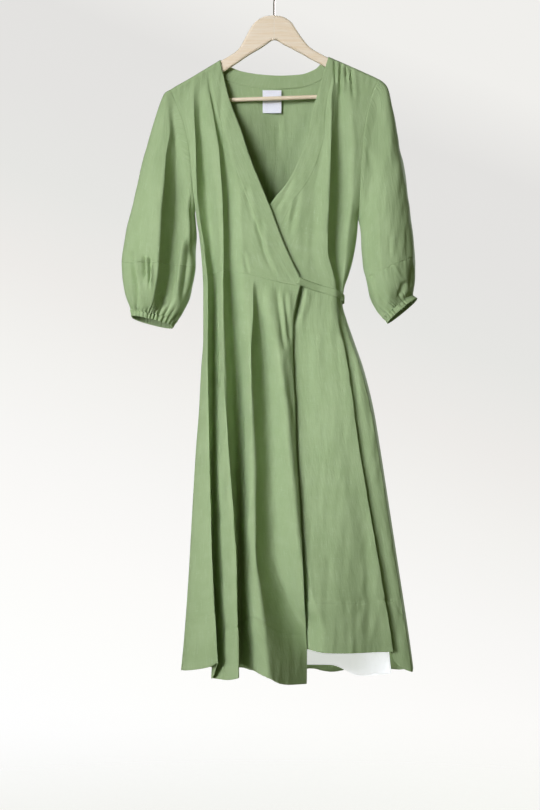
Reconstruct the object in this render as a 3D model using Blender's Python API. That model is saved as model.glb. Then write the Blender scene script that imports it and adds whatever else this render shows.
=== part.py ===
"""Wrap dress hanging on a flat wooden hanger, every cut piece its own thin wall of cloth.

The frame is +Z up, in metres. The origin is the inner top of the hanger's hook, where a rail
carries it. The dress faces -Y. Sizes in the tables are millimetres; "drop" is the distance
below the origin, "out" is the distance from the hanger's plane, forwards or backwards.
"""
import math

import bmesh
import bpy
import numpy as np
from mathutils import Matrix, Vector

MM = 0.001

# ---------------------------------------------------------------- driving sizes, millimetres
WALL = 1.2            # thickness of one layer of cloth
SEAM_GAP = 0.3        # between two pieces that are sewn together
LAY_GAP = 0.6         # between a panel and what lies on it
ARM_THICK = 9.6       # hanger, front to back
ARM_BEVEL = 3.6
BAR_RADIUS = 4.0
WIRE_RADIUS = 1.8
HOOK_RADIUS = 20.0    # centre line of the hook's loop
TIE_WIDTH = 12.5
TIE_THICK = 1.6
LABEL_SIZE = (36.0, 43.0)
ROUND_POWER = 2.4     # how square the flat-hanging body is, 2 would be an ellipse

# Hanger top under the shoulders: the cap of cloth that lies over the arm.
CAP_OUT = 9.4
CAP_DROP = 7.2
CAP_FADE = 70.0       # drop over which the cloth leaves the hanger's thickness

# Rows of the bodice, as drops under the shoulder seam on a column of ROW_LENGTH.
SLEEVE_ROWS = (0.0, 0.4, 2.4, 7.2, 20.0, 45.0, 80.0, 116.0, 152.0, 184.0, 212.0, 230.0)
LOWER_ROWS = (268.0, 312.0, 355.0)
ROW_LENGTH = 355.0

SIDE_CALM = 9.0       # width beside a side seam over which folds die out
SHARP_ANGLE = 40.0    # degrees, past which an edge is shaded sharp
MOST_SHORTENED = 0.45 # of a grid's own step, the most that a gap may take


class Table:
    """A short table of sizes with named columns, read smoothly between its rows."""

    def __init__(self, columns, rows):
        self.columns = columns.split()
        self.values = np.array(rows, dtype=float)

    def at(self, name, where):
        """The column's value where the first column has the value given."""
        keys = self.values[:, 0]
        column = self.values[:, self.columns.index(name)]
        return monotone(keys, column, np.asarray(where, dtype=float))


def monotone(keys, values, where):
    """Monotone cubic curve through the values, held level past both ends."""
    step = np.diff(keys)
    slope = np.diff(values) / step
    tangent = np.zeros_like(values)
    same_way = slope[:-1] * slope[1:] > 0
    tangent[1:-1][same_way] = (2 * slope[:-1] * slope[1:])[same_way] / (slope[:-1] + slope[1:])[same_way]
    tangent[0] = slope[0]
    tangent[-1] = slope[-1]
    where = np.clip(where, keys[0], keys[-1])
    low = np.clip(np.searchsorted(keys, where, side="right") - 1, 0, len(keys) - 2)
    part = (where - keys[low]) / step[low]
    square = part * part
    cube = square * part
    return (values[low] * (2 * cube - 3 * square + 1) + values[low + 1] * (3 * square - 2 * cube)
            + step[low] * (tangent[low] * (cube - 2 * square + part) + tangent[low + 1] * (cube - square)))


def ease(value):
    """0 below 0, 1 above 1, level at both."""
    value = np.clip(value, 0.0, 1.0)
    return value * value * (3.0 - 2.0 * value)


# ---------------------------------------------------------------- the body of the dress
# left and right are the armhole seam above the underarm and the side below it. The spares are
# how far the body's roundness runs on past each armhole, into the sleeve.
BODY = Table("drop left right spare_left spare_right front back", (
    (165, -224, 214, 60, 60, 8, 8),
    (207, -210, 201, 58, 58, 11, 10),
    (230, -199, 191, 56, 56, 14, 12),
    (260, -186, 182, 54, 54, 20, 16),
    (300, -172, 174, 50, 50, 29, 22),
    (345, -163, 169, 40, 42, 37, 27),
    (392, -159, 166, 24, 30, 43, 31),
    (436, -155, 164, 7, 14, 46, 34),
    (460, -152, 163, 0, 5, 47, 35),
    (478, -150, 162, 0, 0, 47, 36),
    (507, -145, 160, 0, 0, 47, 36),
    (556, -140, 152, 0, 0, 44, 36),
    (585, -138, 144, 0, 0, 42, 35),
    (612, -137, 135, 0, 0, 41, 35),
    (640, -137, 132, 0, 0, 43, 38),
    (672, -137, 140, 0, 0, 48, 43),
    (710, -137, 153, 0, 0, 54, 49),
    (768, -141, 173, 0, 0, 62, 57),
    (845, -145, 192, 0, 0, 72, 67),
    (923, -151, 205, 0, 0, 81, 76),
    (1040, -158, 223, 0, 0, 92, 87),
    (1164, -165, 242, 0, 0, 101, 96),
    (1289, -174, 261, 0, 0, 108, 103),
    (1350, -180, 269, 0, 0, 110, 106),
    (1400, -184, 274, 0, 0, 111, 107),
))

SHOULDER = Table("x drop", (
    (-235, 262), (-212, 238), (-201, 228), (-162, 205), (-129, 185), (-104, 170), (0, 108),
    (106, 164), (131, 175), (176, 195), (201, 207), (216, 220), (240, 245),
))

WAIST = Table("x drop", (
    (-150, 588), (-120, 583), (-95, 580), (-60, 584), (6, 600), (52, 609), (100, 619), (150, 632),
))
BACK_WAIST = Table("x drop", ((-150, 588), (-60, 596), (60, 614), (150, 632)))

# Each fold is a rounded ridge whose right flank turns sharply in to a valley. proud and sink are
# the ridge above and the valley below the plain body, lead and tail how wide they fade, and
# under is how far the valley slides back beneath its ridge.
FOLD_COLUMNS = "drop ridge valley proud sink lead tail under"
FRONT_FOLDS = {
    "side": Table(FOLD_COLUMNS, (
        (185, -143, -139, 0, 0, 18, 14, 0),
        (247, -154, -143, 3, 2, 22, 16, 0),
        (344, -150, -137, 6, 6, 12, 18, 0),
        (440, -147, -129, 7, 9, 10, 18, 0),
        (537, -135, -122, 8, 9, 9, 18, 0),
        (610, -127, -115, 8, 10, 11, 15, 1),
        (730, -127, -114, 9, 13, 13, 17, 3),
        (923, -123, -110, 10, 18, 24, 20, 7),
        (1116, -117, -105, 12, 24, 38, 24, 12),
        (1309, -106, -96, 14, 30, 58, 30, 22),
        (1400, -100, -92, 14, 31, 66, 32, 30),
    )),
    "princess": Table(FOLD_COLUMNS, (
        (185, -134, -130, 0, 0, 6, 6, 0),
        (300, -113, -108, 2, 2, 14, 5, 0),
        (344, -105, -98, 4, 4, 18, 8, 0),
        (440, -98, -88, 6, 7, 20, 22, 0),
        (537, -95, -86, 7, 7, 20, 26, 0),
        (610, -96, -82, 7, 9, 18, 26, 1),
        (730, -94, -75, 9, 14, 18, 26, 3),
        (923, -84, -61, 12, 20, 24, 28, 8),
        (1116, -70, -50, 15, 26, 30, 22, 14),
        (1309, -67, -36, 18, 33, 32, 26, 26),
        (1400, -66, -28, 18, 34, 34, 28, 34),
    )),
    "wrap": Table(FOLD_COLUMNS, (
        (600, -40, -34, 0, 0, 20, 20, 0),
        (655, -40, -28, 3, 4, 22, 22, 1),
        (730, -44, -22, 7, 10, 22, 24, 2),
        (923, -40, -11, 11, 17, 22, 34, 6),
        (1116, -38, 6, 13, 24, 14, 38, 14),
        (1212, -26, 12, 14, 27, 20, 40, 24),
        (1309, -12, 26, 15, 30, 26, 34, 34),
        (1400, -2, 34, 15, 30, 28, 30, 40),
    )),
}
UNDERLAP_FOLDS = {
    "bust": Table(FOLD_COLUMNS, (
        (165, 128, 132, 0, 0, 4, 10, 0),
        (190, 119, 126, 1, 1, 4, 14, 0),
        (222, 113, 124, 3, 4, 6, 20, 0),
        (247, 110, 124, 4, 6, 9, 26, 0),
        (344, 108, 126, 6, 9, 20, 28, 0),
        (440, 104, 124, 7, 11, 30, 26, 0),
        (537, 102, 118, 8, 12, 34, 22, 0),
        (610, 118, 127, 5, 6, 30, 10, 0),
        (672, 124, 132, 6, 7, 34, 12, 1),
        (730, 141, 148, 7, 8, 40, 14, 2),
        (923, 172, 179, 8, 11, 50, 20, 4),
        (1116, 206, 213, 10, 14, 60, 24, 7),
        (1309, 226, 234, 11, 17, 64, 28, 10),
        (1400, 232, 240, 11, 18, 66, 30, 12),
    )),
}

# The back hangs in soft full folds that fade out above the hips. across runs from the left
# side, -1, to the right side, +1.
BACK_FOLDS = Table("across depth width start", (
    (-0.80, 26, 0.085, 570),
    (-0.50, 40, 0.095, 480),
    (-0.17, 32, 0.080, 620),
    (0.13, 43, 0.100, 500),
    (0.46, 36, 0.085, 590),
    (0.77, 30, 0.090, 540),
))
BACK_FOLD_REACH = 760.0   # drop over which a back fold grows to its full depth
BACK_FOLD_TOP = 540.0
BACK_FOLD_SINK = 11.0     # how far the cloth between the folds falls in

# The neck: edges of the wrapped fronts, and the seams where the neck band joins them.
WRAP_NECK = Table("drop edge seam", (
    (165, -106, -130), (190, -101, -127), (247, -87, -115), (305, -66, -97), (363, -47, -80),
    (421, -24, -60), (460, -8, -45), (517, 13, -25), (560, 32, -8), (594, 48, 6), (612, 51, 13),
))
UNDER_NECK = Table("drop edge seam", (
    (160, 107, 125), (190, 98, 114), (222, 89, 107), (247, 81, 102), (285, 72, 97), (315, 67, 96),
    (363, 50, 85), (403, 31, 68), (454, -7, 33), (517, -34, 5), (585, -58, -18), (612, -66, -25),
))
BACK_NECK = Table("x edge seam", (
    (-129, 186, 187), (-104, 170, 203), (-83, 183, 211), (-62, 191, 217), (-24, 197, 222),
    (10, 199, 224), (50, 197, 222), (79, 187, 213), (106, 164, 194), (122, 171, 172),
))

# Front edges of the skirt, and what the hidden front does behind the wrapped one.
WRAP_EDGE = Table("drop x", (
    (570, 52), (606, 50), (633, 43), (672, 37), (701, 35), (788, 37), (846, 41), (903, 42),
    (980, 46), (1058, 50), (1193, 56), (1250, 60), (1309, 61), (1400, 60),
))
HIDDEN_EDGE = Table("drop x", (
    (570, -52), (720, -58), (900, -72), (1100, -92), (1400, -112),
))
HIDDEN_DROP_BACK = Table("drop out", (
    (160, 3), (440, 4), (585, 5), (650, 7), (730, 12), (900, 26), (1100, 38), (1400, 48),
))

HEM = Table("x drop", (
    (-190, 1347), (-120, 1326), (-106, 1318), (-97, 1354), (-80, 1352), (-67, 1344), (-36, 1327),
    (-14, 1340), (12, 1356), (30, 1360), (60, 1362),
))
UNDERLAP_HEM = Table("x drop", (
    (-120, 1290), (60, 1298), (140, 1300), (226, 1299), (234, 1318), (250, 1334), (272, 1343),
))
BACK_HEM = Table("x drop", (
    (-190, 1347), (-120, 1356), (-40, 1364), (60, 1366), (160, 1366), (240, 1356), (272, 1344),
))
LINING_HEM_RISE = 17.0
LINING_SAG = 21.0     # how far the lining hangs inside the plain back at its hem
LINING_REACH = 480.0
LINING_CLEAR = 4.0    # how far it steps away from the back just under the waist seam
LINING_TURN = 40.0
LABEL_CENTRE = -4.0
LABEL_TOP = 227.0
LABEL_THICK = 1.0
LABEL_STEPS = 5

TIE_PATH = Table("x drop", ((50, 600), (66, 606), (87, 613), (120, 623), (133, 631)))
TIE_FRONT_X = (54.0, 58.0, 66.0, 78.0, 90.0, 102.0, 110.0, 116.0, 121.0, 126.0, 129.5, 131.5)
TIE_BACK_X = (131.5, 129.5, 126.0, 121.0, 115.0)
TIE_SIDE_DROP = 634.0
TIE_SLIT_DROP = 592.0
TIE_SLIT_IN = 4.0     # from the side seam to where the second tie starts
TIE_BACK_STEPS = 18
TIE_RISE = 0.06
TIE_LIFT = 2.0
TAIL_LIFT = 3.2
TAIL_STEPS = 9
KNOT_X = 104.0
KNOT_SIZE = (20.0, 9.0, 17.0)
TAILS = (("tie_tail_long", -7.0, -20.0, 215.0), ("tie_tail_short", 7.5, 4.0, 180.0))

HANGER = Table("x top bottom", (
    (-192, 226, 242), (-162, 208, 236), (-129, 188, 215), (-104, 173, 198), (-87, 163, 187),
    (-69, 150, 175), (-56, 128, 166), (-42, 103, 157), (-23, 88, 146), (-12, 85, 138), (0, 85, 131),
    (8, 85, 134), (17, 87, 140), (33, 97, 148), (44, 114, 154), (56, 131, 160), (69, 146, 168),
    (85, 156, 176), (106, 167, 188), (131, 178, 201), (176, 198, 222), (192, 206, 222),
))
ARM_START = 5.0
ARM_END = 190.0
ARM_POINTS = 32
BAR_SEAT = 157.0      # where each end of the bar meets its arm
FOOT_END = 178.0
FOOT_UNDER = 3.0
BAR_END_GAP = 0.6
BAR_DROP = 244.3
BAR_SLOPE = 0.035
HOOK_STEM = ((0, -84.7), (0, -72), (0, -60), (0.7, -53), (3.4, -46), (7.6, -40))
HOOK_START = -52.0
HOOK_END = 205.0
HOOK_STEPS = 26


def cap(out, x, drop):
    """The body's out, drawn in to the hanger near the shoulder seam."""
    under = drop - SHOULDER.at("drop", x)
    turn = np.clip(under / CAP_DROP, 0.0, 1.0)
    rolled = CAP_OUT * np.sqrt(np.clip(1.0 - (1.0 - turn) ** 2, 0.0, 1.0))
    leave = ease((under - CAP_DROP) / CAP_FADE)
    return rolled * (1.0 - leave) + out * leave


def plain_body(side, x, drop):
    """How far the plain body stands out at x, on its front or its back."""
    left = BODY.at("left", drop) - BODY.at("spare_left", drop)
    right = BODY.at("right", drop) + BODY.at("spare_right", drop)
    across = np.clip((2.0 * x - left - right) / (right - left), -1.0, 1.0)
    return BODY.at(side, drop) * (1.0 - np.abs(across) ** ROUND_POWER) ** (1.0 / ROUND_POWER)


def folded(folds, x, drop):
    """What the folds add to out at x, and how far they slide the cloth sideways."""
    add = np.zeros_like(x)
    slide = np.zeros_like(x)
    for table in folds.values():
        ridge = table.at("ridge", drop)
        valley = table.at("valley", drop)
        proud = table.at("proud", drop)
        sink = table.at("sink", drop)
        rise = ease((x - ridge) / table.at("lead", drop) + 1.0)
        fall = ease((x - ridge) / (valley - ridge))
        fade = 1.0 - ease((x - valley) / table.at("tail", drop))
        add += np.where(x < ridge, proud * rise, proud - (proud + sink) * fall) * fade
        slide -= table.at("under", drop) * fall * fade
    return add, slide


def near_side(x, drop):
    """1 in the middle of a panel, 0 at the side seams, so that folds leave the sides alone."""
    left = BODY.at("left", drop)
    right = BODY.at("right", drop)
    return ease((x - left) / SIDE_CALM) * ease((right - x) / SIDE_CALM)


def wrap_front(x, drop):
    """Point of the outer, wrapped front."""
    add, slide = folded(FRONT_FOLDS, x, drop)
    out = cap(plain_body("front", x, drop) + add * near_side(x, drop), x, drop)
    return np.stack((x + slide, -out, -drop), axis=-1)


# The inner front sinks behind the wrapped one: it starts HIDE_LEAD short of the wrapped edge and
# is SHOW_SINK lower at that edge, coming level with the body SHOW_REACH past it.
HIDE_LEAD = 14.0
HIDE_WIDTH = 44.0
SHOW_REACH = 90.0
SHOW_SINK = 9.0


def under_front(x, drop):
    """Point of the inner front, which lies behind the wrapped one and comes out at its edge."""
    add, slide = folded(UNDERLAP_FOLDS, x, drop)
    edge = WRAP_EDGE.at("x", drop)
    hidden = 1.0 - ease((x - edge + HIDE_LEAD) / HIDE_WIDTH)
    behind = HIDDEN_DROP_BACK.at("out", drop)
    shown = 1.0 - ease((x - edge) / SHOW_REACH)
    out = plain_body("front", x, drop) + add * near_side(x, drop)
    out = out - behind * hidden - np.minimum(behind, SHOW_SINK) * shown
    return np.stack((x + slide, -cap(out, x, drop), -drop), axis=-1)


def back(x, drop, inward=0.0):
    """Point of the back, or of a layer inside it."""
    left = BODY.at("left", drop)
    right = BODY.at("right", drop)
    across = (2.0 * x - left - right) / (right - left)
    add = np.zeros_like(x)
    for place, depth, width, start in BACK_FOLDS.values:
        grown = ease((drop - start) / BACK_FOLD_REACH)
        add += grown * depth * np.exp(-((across - place) / width) ** 2)
    add -= BACK_FOLD_SINK * ease((drop - BACK_FOLD_TOP) / BACK_FOLD_REACH)
    out = cap(plain_body("back", x, drop) + add * near_side(x, drop), x, drop) - inward
    return np.stack((x, out, -drop), axis=-1)


# ---------------------------------------------------------------- sleeves
# Each station runs from the outer line of the sleeve to its inner line; deep is how far it
# stands out, tilt how far its front is raised over its back.
SLEEVE_COLUMNS = "at outer_x outer_drop inner_x inner_drop deep tilt ridge valley proud sink"
SLEEVES = {
    "right": Table(SLEEVE_COLUMNS, (
        (0.0, -199, 230, -152, 460, 16, 0, 0.05, 0.10, 0, 0),
        (0.4, -212, 239, -152, 464, 18, 0, 0.10, 0.18, 3, 2),
        (1.0, -225, 272, -151, 471, 25, 0, 0.28, 0.45, 7, 7),
        (2.0, -249, 350, -150, 490, 36, 0, 0.40, 0.62, 10, 12),
        (3.0, -268, 430, -149, 512, 43, 0, 0.44, 0.68, 11, 14),
        (4.0, -284, 500, -151, 538, 47, 0, 0.50, 0.70, 11, 15),
        (5.0, -293, 562, -152, 570, 48, 0, 0.52, 0.70, 11, 15),
        (6.0, -288, 612, -160, 618, 45, 0, 0.48, 0.70, 10, 14),
        (7.0, -279, 642, -175, 652, 36, 2, 0.43, 0.68, 7, 9),
        (8.0, -276, 656, -190, 674, 27, 4, 0.42, 0.62, 2, 2),
        (9.0, -275, 666, -196, 686, 27, 5, 0.42, 0.62, 0, 0),
    )),
    "left": Table(SLEEVE_COLUMNS, (
        (0.0, 201, 207, 162, 478, 16, 0, 0.60, 0.75, 0, 0),
        (0.4, 216, 218, 163, 480, 18, 0, 0.60, 0.76, 0, 0),
        (1.0, 228, 262, 164, 485, 25, 0, 0.60, 0.78, 1, 1),
        (2.0, 243, 344, 166, 496, 36, 0, 0.62, 0.80, 2, 3),
        (3.0, 258, 421, 168, 518, 43, 0, 0.66, 0.84, 4, 5),
        (4.0, 268, 502, 170, 560, 47, 0, 0.68, 0.86, 6, 7),
        (5.0, 272, 550, 176, 592, 47, 0, 0.70, 0.86, 7, 8),
        (6.0, 272, 588, 185, 627, 43, 0, 0.68, 0.84, 6, 8),
        (7.0, 270, 612, 197, 650, 35, 2, 0.62, 0.80, 4, 6),
        (8.0, 268, 624, 212, 667, 27, 4, 0.58, 0.72, 1, 1),
        (9.0, 276, 631, 219, 677, 27, 5, 0.58, 0.72, 0, 0),
    )),
}
SLEEVE_PIECES = (
    ("sleeve_", (0.0, 0.3, 0.7, 1.3, 2.1, 3.2, 4.2, 5.0)),
    ("sleeve_panel_", (5.0, 6.0, 7.0, 8.0)),
    ("cuff_", (8.0, 9.0)),
)
SLEEVE_BACK_PLUMP = 0.8


def sleeve_point(table, at, across, face):
    """Point of a sleeve, across from its outer line, 0, to its inner line, 1.

    face is -1 on the front and +1 on the back.
    """
    outer_x = table.at("outer_x", at)
    outer_drop = table.at("outer_drop", at)
    inner_x = table.at("inner_x", at)
    inner_drop = table.at("inner_drop", at)
    plump = (1.0 - np.abs(2.0 * across - 1.0) ** ROUND_POWER) ** (1.0 / ROUND_POWER)
    out = table.at("deep", at) * plump
    ridge = table.at("ridge", at)
    valley = table.at("valley", at)
    proud = table.at("proud", at)
    sink = table.at("sink", at)
    rise = ease(across / np.maximum(ridge, 0.01))
    fall = ease((across - ridge) / (valley - ridge))
    fade = 1.0 - ease((across - valley) / (1.0 - valley))
    fold = np.where(across < ridge, proud * rise, proud - (proud + sink) * fall) * fade
    out = out + fold * plump if face < 0 else out * SLEEVE_BACK_PLUMP
    x = outer_x + (inner_x - outer_x) * across
    drop = outer_drop + (inner_drop - outer_drop) * across + table.at("tilt", at) * face * plump
    return np.stack((x, face * out, -drop), axis=-1)


# ---------------------------------------------------------------- making meshes
def material(name, colour, roughness, metallic=0.0):
    """A Principled material with the piece's own colour, given as linear red, green and blue."""
    made = bpy.data.materials.get(name) or bpy.data.materials.new(name)
    made.use_nodes = True
    shader = made.node_tree.nodes["Principled BSDF"]
    shader.inputs["Base Color"].default_value = (*colour, 1.0)
    shader.inputs["Roughness"].default_value = roughness
    shader.inputs["Metallic"].default_value = metallic
    return made


def linen():
    return material("sage linen", (0.30, 0.42, 0.21), 0.85)


def cotton():
    return material("white cotton", (0.80, 0.80, 0.84), 0.8)


def wood():
    return material("pale maple", (0.82, 0.68, 0.47), 0.45)


def steel():
    return material("plated steel wire", (0.62, 0.58, 0.55), 0.3, 1.0)


def finish(name, build, surface):
    """A named object from a bmesh, shaded smooth but for its sharp edges."""
    mesh = bpy.data.meshes.new(name)
    bmesh.ops.scale(build, vec=(MM, MM, MM), verts=build.verts)
    build.to_mesh(mesh)
    build.free()
    mesh.materials.append(surface)
    mesh.shade_smooth()
    mesh.set_sharp_from_angle(angle=math.radians(SHARP_ANGLE))
    piece = bpy.data.objects.new(name, mesh)
    bpy.context.collection.objects.link(piece)
    return piece


def thicken(piece, thick, offset=-1.0):
    """Gives a sheet its wall, on the side away from its normals."""
    wall = piece.modifiers.new("wall", "SOLIDIFY")
    wall.thickness = thick * MM
    wall.offset = offset
    wall.use_even_offset = False
    return piece


def shorten(grid, gaps):
    """Draws a grid's edges in along its own lines, by a gap each for top, bottom, start, end."""
    top, bottom, start, end = gaps
    grid = grid.copy()

    def towards(edge, inner, gap):
        line = inner - edge
        length = np.maximum(np.linalg.norm(line, axis=-1, keepdims=True), 1e-6)
        return edge + line * np.minimum(gap / length, MOST_SHORTENED)

    whole = grid.copy()
    grid[0] = towards(whole[0], whole[1], top)
    grid[-1] = towards(whole[-1], whole[-2], bottom)
    whole = grid.copy()
    grid[:, 0] = towards(whole[:, 0], whole[:, 1], start)
    grid[:, -1] = towards(whole[:, -1], whole[:, -2], end)
    return grid


def sheet(name, grid, surface, outward, closed=False, thick=WALL):
    """A wall of cloth on a grid of points, rows by columns; closed joins its last column to its first.

    outward is the direction that the cloth's outer face looks, roughly, at the grid's middle.
    """
    rows, columns = grid.shape[:2]
    build = bmesh.new()
    corners = [[build.verts.new(point) for point in row] for row in grid]
    last = columns if closed else columns - 1
    for row in range(rows - 1):
        for column in range(last):
            following = (column + 1) % columns
            build.faces.new((corners[row][column], corners[row + 1][column],
                             corners[row + 1][following], corners[row][following]))
    build.normal_update()
    build.faces.ensure_lookup_table()
    probe = last // 4 if closed else last // 2
    middle = build.faces[(rows - 1) // 2 * last + probe]
    if middle.normal.dot(outward) < 0:
        bmesh.ops.reverse_faces(build, faces=build.faces)
    return thicken(finish(name, build, surface), thick)


def strip_of(points, width, thick, name, surface):
    """A flat band along points, each with its own across and out directions."""
    build = bmesh.new()
    rings = []
    for place, across, out in points:
        half = across * width / 2.0
        rings.append([build.verts.new(place + half * side + out * thick * lift)
                      for side, lift in ((-1, 0), (1, 0), (1, 1), (-1, 1))])
    for first, second in zip(rings, rings[1:]):
        for corner in range(4):
            following = (corner + 1) % 4
            build.faces.new((first[corner], first[following], second[following], second[corner]))
    build.faces.new(rings[0][::-1])
    build.faces.new(rings[-1])
    bmesh.ops.recalc_face_normals(build, faces=build.faces)
    return finish(name, build, surface)


# ---------------------------------------------------------------- cutting the panels
HALF_GAP = SEAM_GAP / 2.0
SHOULDER_GAP = 0.35   # each side, as the walls there lean towards each other
WAIST_GAP = 0.25
ARMHOLE_GAP = 0.3
FORWARD = (0.0, -1.0, 0.0)
REARWARD = (0.0, 1.0, 0.0)
FIRST_TOP = 200.0     # drops from which the search for a panel's top and bottom starts
FIRST_BOTTOM = 600.0


def meeting(line, limit, start, steps=12):
    """Drop at which a column's line, x as a function of drop, meets a limit, drop as one of x."""
    drop = start
    for _ in range(steps):
        drop = float(limit(line(drop)))
    return drop


def panel_grid(surface, lines, top, bottom, fractions):
    """Grid on a surface between two limits, a column on each line and a row at each fraction."""
    columns = []
    for line in lines:
        high = meeting(line, top, FIRST_TOP)
        low = meeting(line, bottom, FIRST_BOTTOM)
        drops = high + (low - high) * np.array(fractions)
        across = np.array([float(line(drop)) for drop in drops])
        columns.append(surface(across, drops))
    return np.stack(columns, axis=1)


def between(first, second, part):
    """A line part of the way from one line to another."""
    return lambda drop: first(drop) * (1.0 - part) + second(drop) * part


def offset_line(line, distance):
    return lambda drop: line(drop) + distance


def column(table, name):
    return lambda where: table.at(name, where)


def fold_lines(table, before, after):
    """Lines that catch one fold: its foot, ridge, flank and valley, kept between two others."""
    ridge = column(table, "ridge")
    valley = column(table, "valley")

    def foot(drop):
        return np.maximum(ridge(drop) - 0.45 * table.at("lead", drop), between(before, ridge, 0.5)(drop))

    def rest(drop):
        return np.minimum(valley(drop) + 0.5 * table.at("tail", drop), between(valley, after, 0.5)(drop))

    return [foot, ridge, between(ridge, valley, 0.35), between(ridge, valley, 0.7), valley, rest]


LEFT = column(BODY, "left")
RIGHT = column(BODY, "right")
SIDE_TURNS = (0.0, 0.6, 4.0)    # columns at a side seam, where the cloth turns round it


def left_turn():
    return [offset_line(LEFT, turn) for turn in SIDE_TURNS]


def right_turn():
    return [offset_line(RIGHT, -turn) for turn in reversed(SIDE_TURNS)]


def bodice_fractions():
    rows = SLEEVE_ROWS + LOWER_ROWS
    return [row / ROW_LENGTH for row in rows]


# Columns of the back, close together where the neck band's seam meets the shoulder.
BACK_PARTS = (0.06, 0.13, 0.206, 0.2105, 0.222, 0.25, 0.30, 0.40, 0.50, 0.60, 0.70, 0.75, 0.775,
              0.786, 0.7902, 0.793, 0.87, 0.94)


def wrap_bodice_lines():
    seam = column(WRAP_NECK, "seam")
    side = FRONT_FOLDS["side"]
    princess = FRONT_FOLDS["princess"]
    first = fold_lines(side, LEFT, column(princess, "ridge"))
    second = fold_lines(princess, column(side, "valley"), seam)
    lines = left_turn()[:2] + [between(LEFT, first[0], 0.45)]
    return lines + first + second + [between(second[-1], seam, 0.5), seam]


def under_bodice_lines():
    seam = column(UNDER_NECK, "seam")
    bust = UNDERLAP_FOLDS["bust"]
    fold = fold_lines(bust, seam, RIGHT)
    lines = [seam, between(seam, fold[0], 0.5)] + fold
    return lines + [between(fold[-1], RIGHT, 0.5)] + right_turn()


def back_bodice_lines():
    return left_turn() + [between(LEFT, RIGHT, part) for part in BACK_PARTS] + right_turn()


def back_top(x):
    """Top of the back bodice: the shoulder seams, and the neck band's seam between them."""
    inside = (x > BACK_NECK.values[0, 0]) & (x < BACK_NECK.values[-1, 0])
    return np.where(inside, BACK_NECK.at("seam", x), SHOULDER.at("drop", x))


def build_bodice():
    shoulder = column(SHOULDER, "drop")
    waist = column(WAIST, "drop")
    back_waist = column(BACK_WAIST, "drop")
    fractions = bodice_fractions()
    panels = {}
    panels["front_right"] = panel_grid(wrap_front, wrap_bodice_lines(), shoulder, waist, fractions)
    panels["front_left"] = panel_grid(under_front, under_bodice_lines(), shoulder, waist, fractions)
    panels["back"] = panel_grid(back, back_bodice_lines(), back_top, back_waist, fractions)
    for part, grid in panels.items():
        outward = REARWARD if part == "back" else FORWARD
        cut = shorten(grid, (SHOULDER_GAP, WAIST_GAP, HALF_GAP, HALF_GAP))
        sheet("bodice_" + part, cut, linen(), outward)
    return panels


BAND_PARTS = (0.0, 0.35, 0.7, 1.0)      # of the front bands' width, from seam to edge
BACK_BAND_PARTS = (1.0, 0.6, 0.25, 0.0) # of the back band's, from edge to seam
NECK_CORNERS = (-104.0, 106.0)          # ends of the back neck's edge


def build_neck_band():
    """Two front bands from shoulder to waist and the back band between them."""
    shoulder = column(SHOULDER, "drop")
    waist = column(WAIST, "drop")
    fractions = bodice_fractions()
    for name, table, surface in (("right", WRAP_NECK, wrap_front), ("left", UNDER_NECK, under_front)):
        seam = column(table, "seam")
        edge = column(table, "edge")
        lines = [between(seam, edge, part) for part in BAND_PARTS]
        grid = panel_grid(surface, lines, shoulder, waist, fractions)
        if name == "left":
            grid = grid[:, ::-1]
            gaps = (SHOULDER_GAP, WAIST_GAP, 0.0, HALF_GAP)
        else:
            gaps = (SHOULDER_GAP, WAIST_GAP, HALF_GAP, 0.0)
        sheet("neckband_front_" + name, shorten(grid, gaps), linen(), FORWARD)
    # The back band runs along the neck, from its seam to its edge.
    lines = back_bodice_lines()
    seam_points = []
    for line in lines:
        drop = meeting(line, back_top, FIRST_TOP)
        seam_points.append((float(line(drop)), drop))
    left_end = BACK_NECK.values[0, 0]
    right_end = BACK_NECK.values[-1, 0]
    inner = [point for point in seam_points if left_end < point[0] < right_end]
    inner = [(left_end, float(SHOULDER.at("drop", left_end)))] + inner
    inner += [(right_end, float(SHOULDER.at("drop", right_end)))]
    rows = []
    for part in BACK_BAND_PARTS:
        xs = []
        drops = []
        for x, drop in inner:
            along = (x - left_end) / (right_end - left_end)
            edge_x = NECK_CORNERS[0] + along * (NECK_CORNERS[1] - NECK_CORNERS[0])
            edge_drop = float(BACK_NECK.at("edge", edge_x))
            xs.append(x + (edge_x - x) * part)
            drops.append(drop + (edge_drop - drop) * part)
        rows.append(back(np.array(xs), np.array(drops)))
    grid = np.stack(rows, axis=0)
    gaps = (0.0, HALF_GAP, SHOULDER_GAP, SHOULDER_GAP)
    sheet("neckband_back", shorten(grid, gaps), linen(), REARWARD)


# ---------------------------------------------------------------- sleeves and cuffs
def armhole_ring(front, rear, edge):
    """Points round an armhole, down its front edge and up its back edge."""
    rows = len(SLEEVE_ROWS)
    down = front[:rows, edge]
    up = rear[:rows, edge]
    return np.concatenate((down, up[rows - 2:0:-1]))


# Where a sleeve's lines cross it, from its outer line to its inner one: on the back, and on the
# front as parts of the way to the fold's ridge, from there to its valley, and on to the end.
REAR_PARTS = (0.0, 0.012, 0.05, 0.14, 0.26, 0.40, 0.54, 0.68, 0.80, 0.92, 0.98, 1.0)
EDGE_PARTS = (0.0, 0.012, 0.05)
RIDGE_PARTS = (0.35, 0.7, 1.0)
VALLEY_PARTS = (0.5, 1.0)
INNER_PARTS = (0.4, 0.75, 0.95, 1.0)
ARM_SPREAD = 1.5      # station at which the lines have left the armhole's own spacing
ARM_SHAPE = 1.6       # station at which the sleeve has left the armhole's own shape


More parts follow.
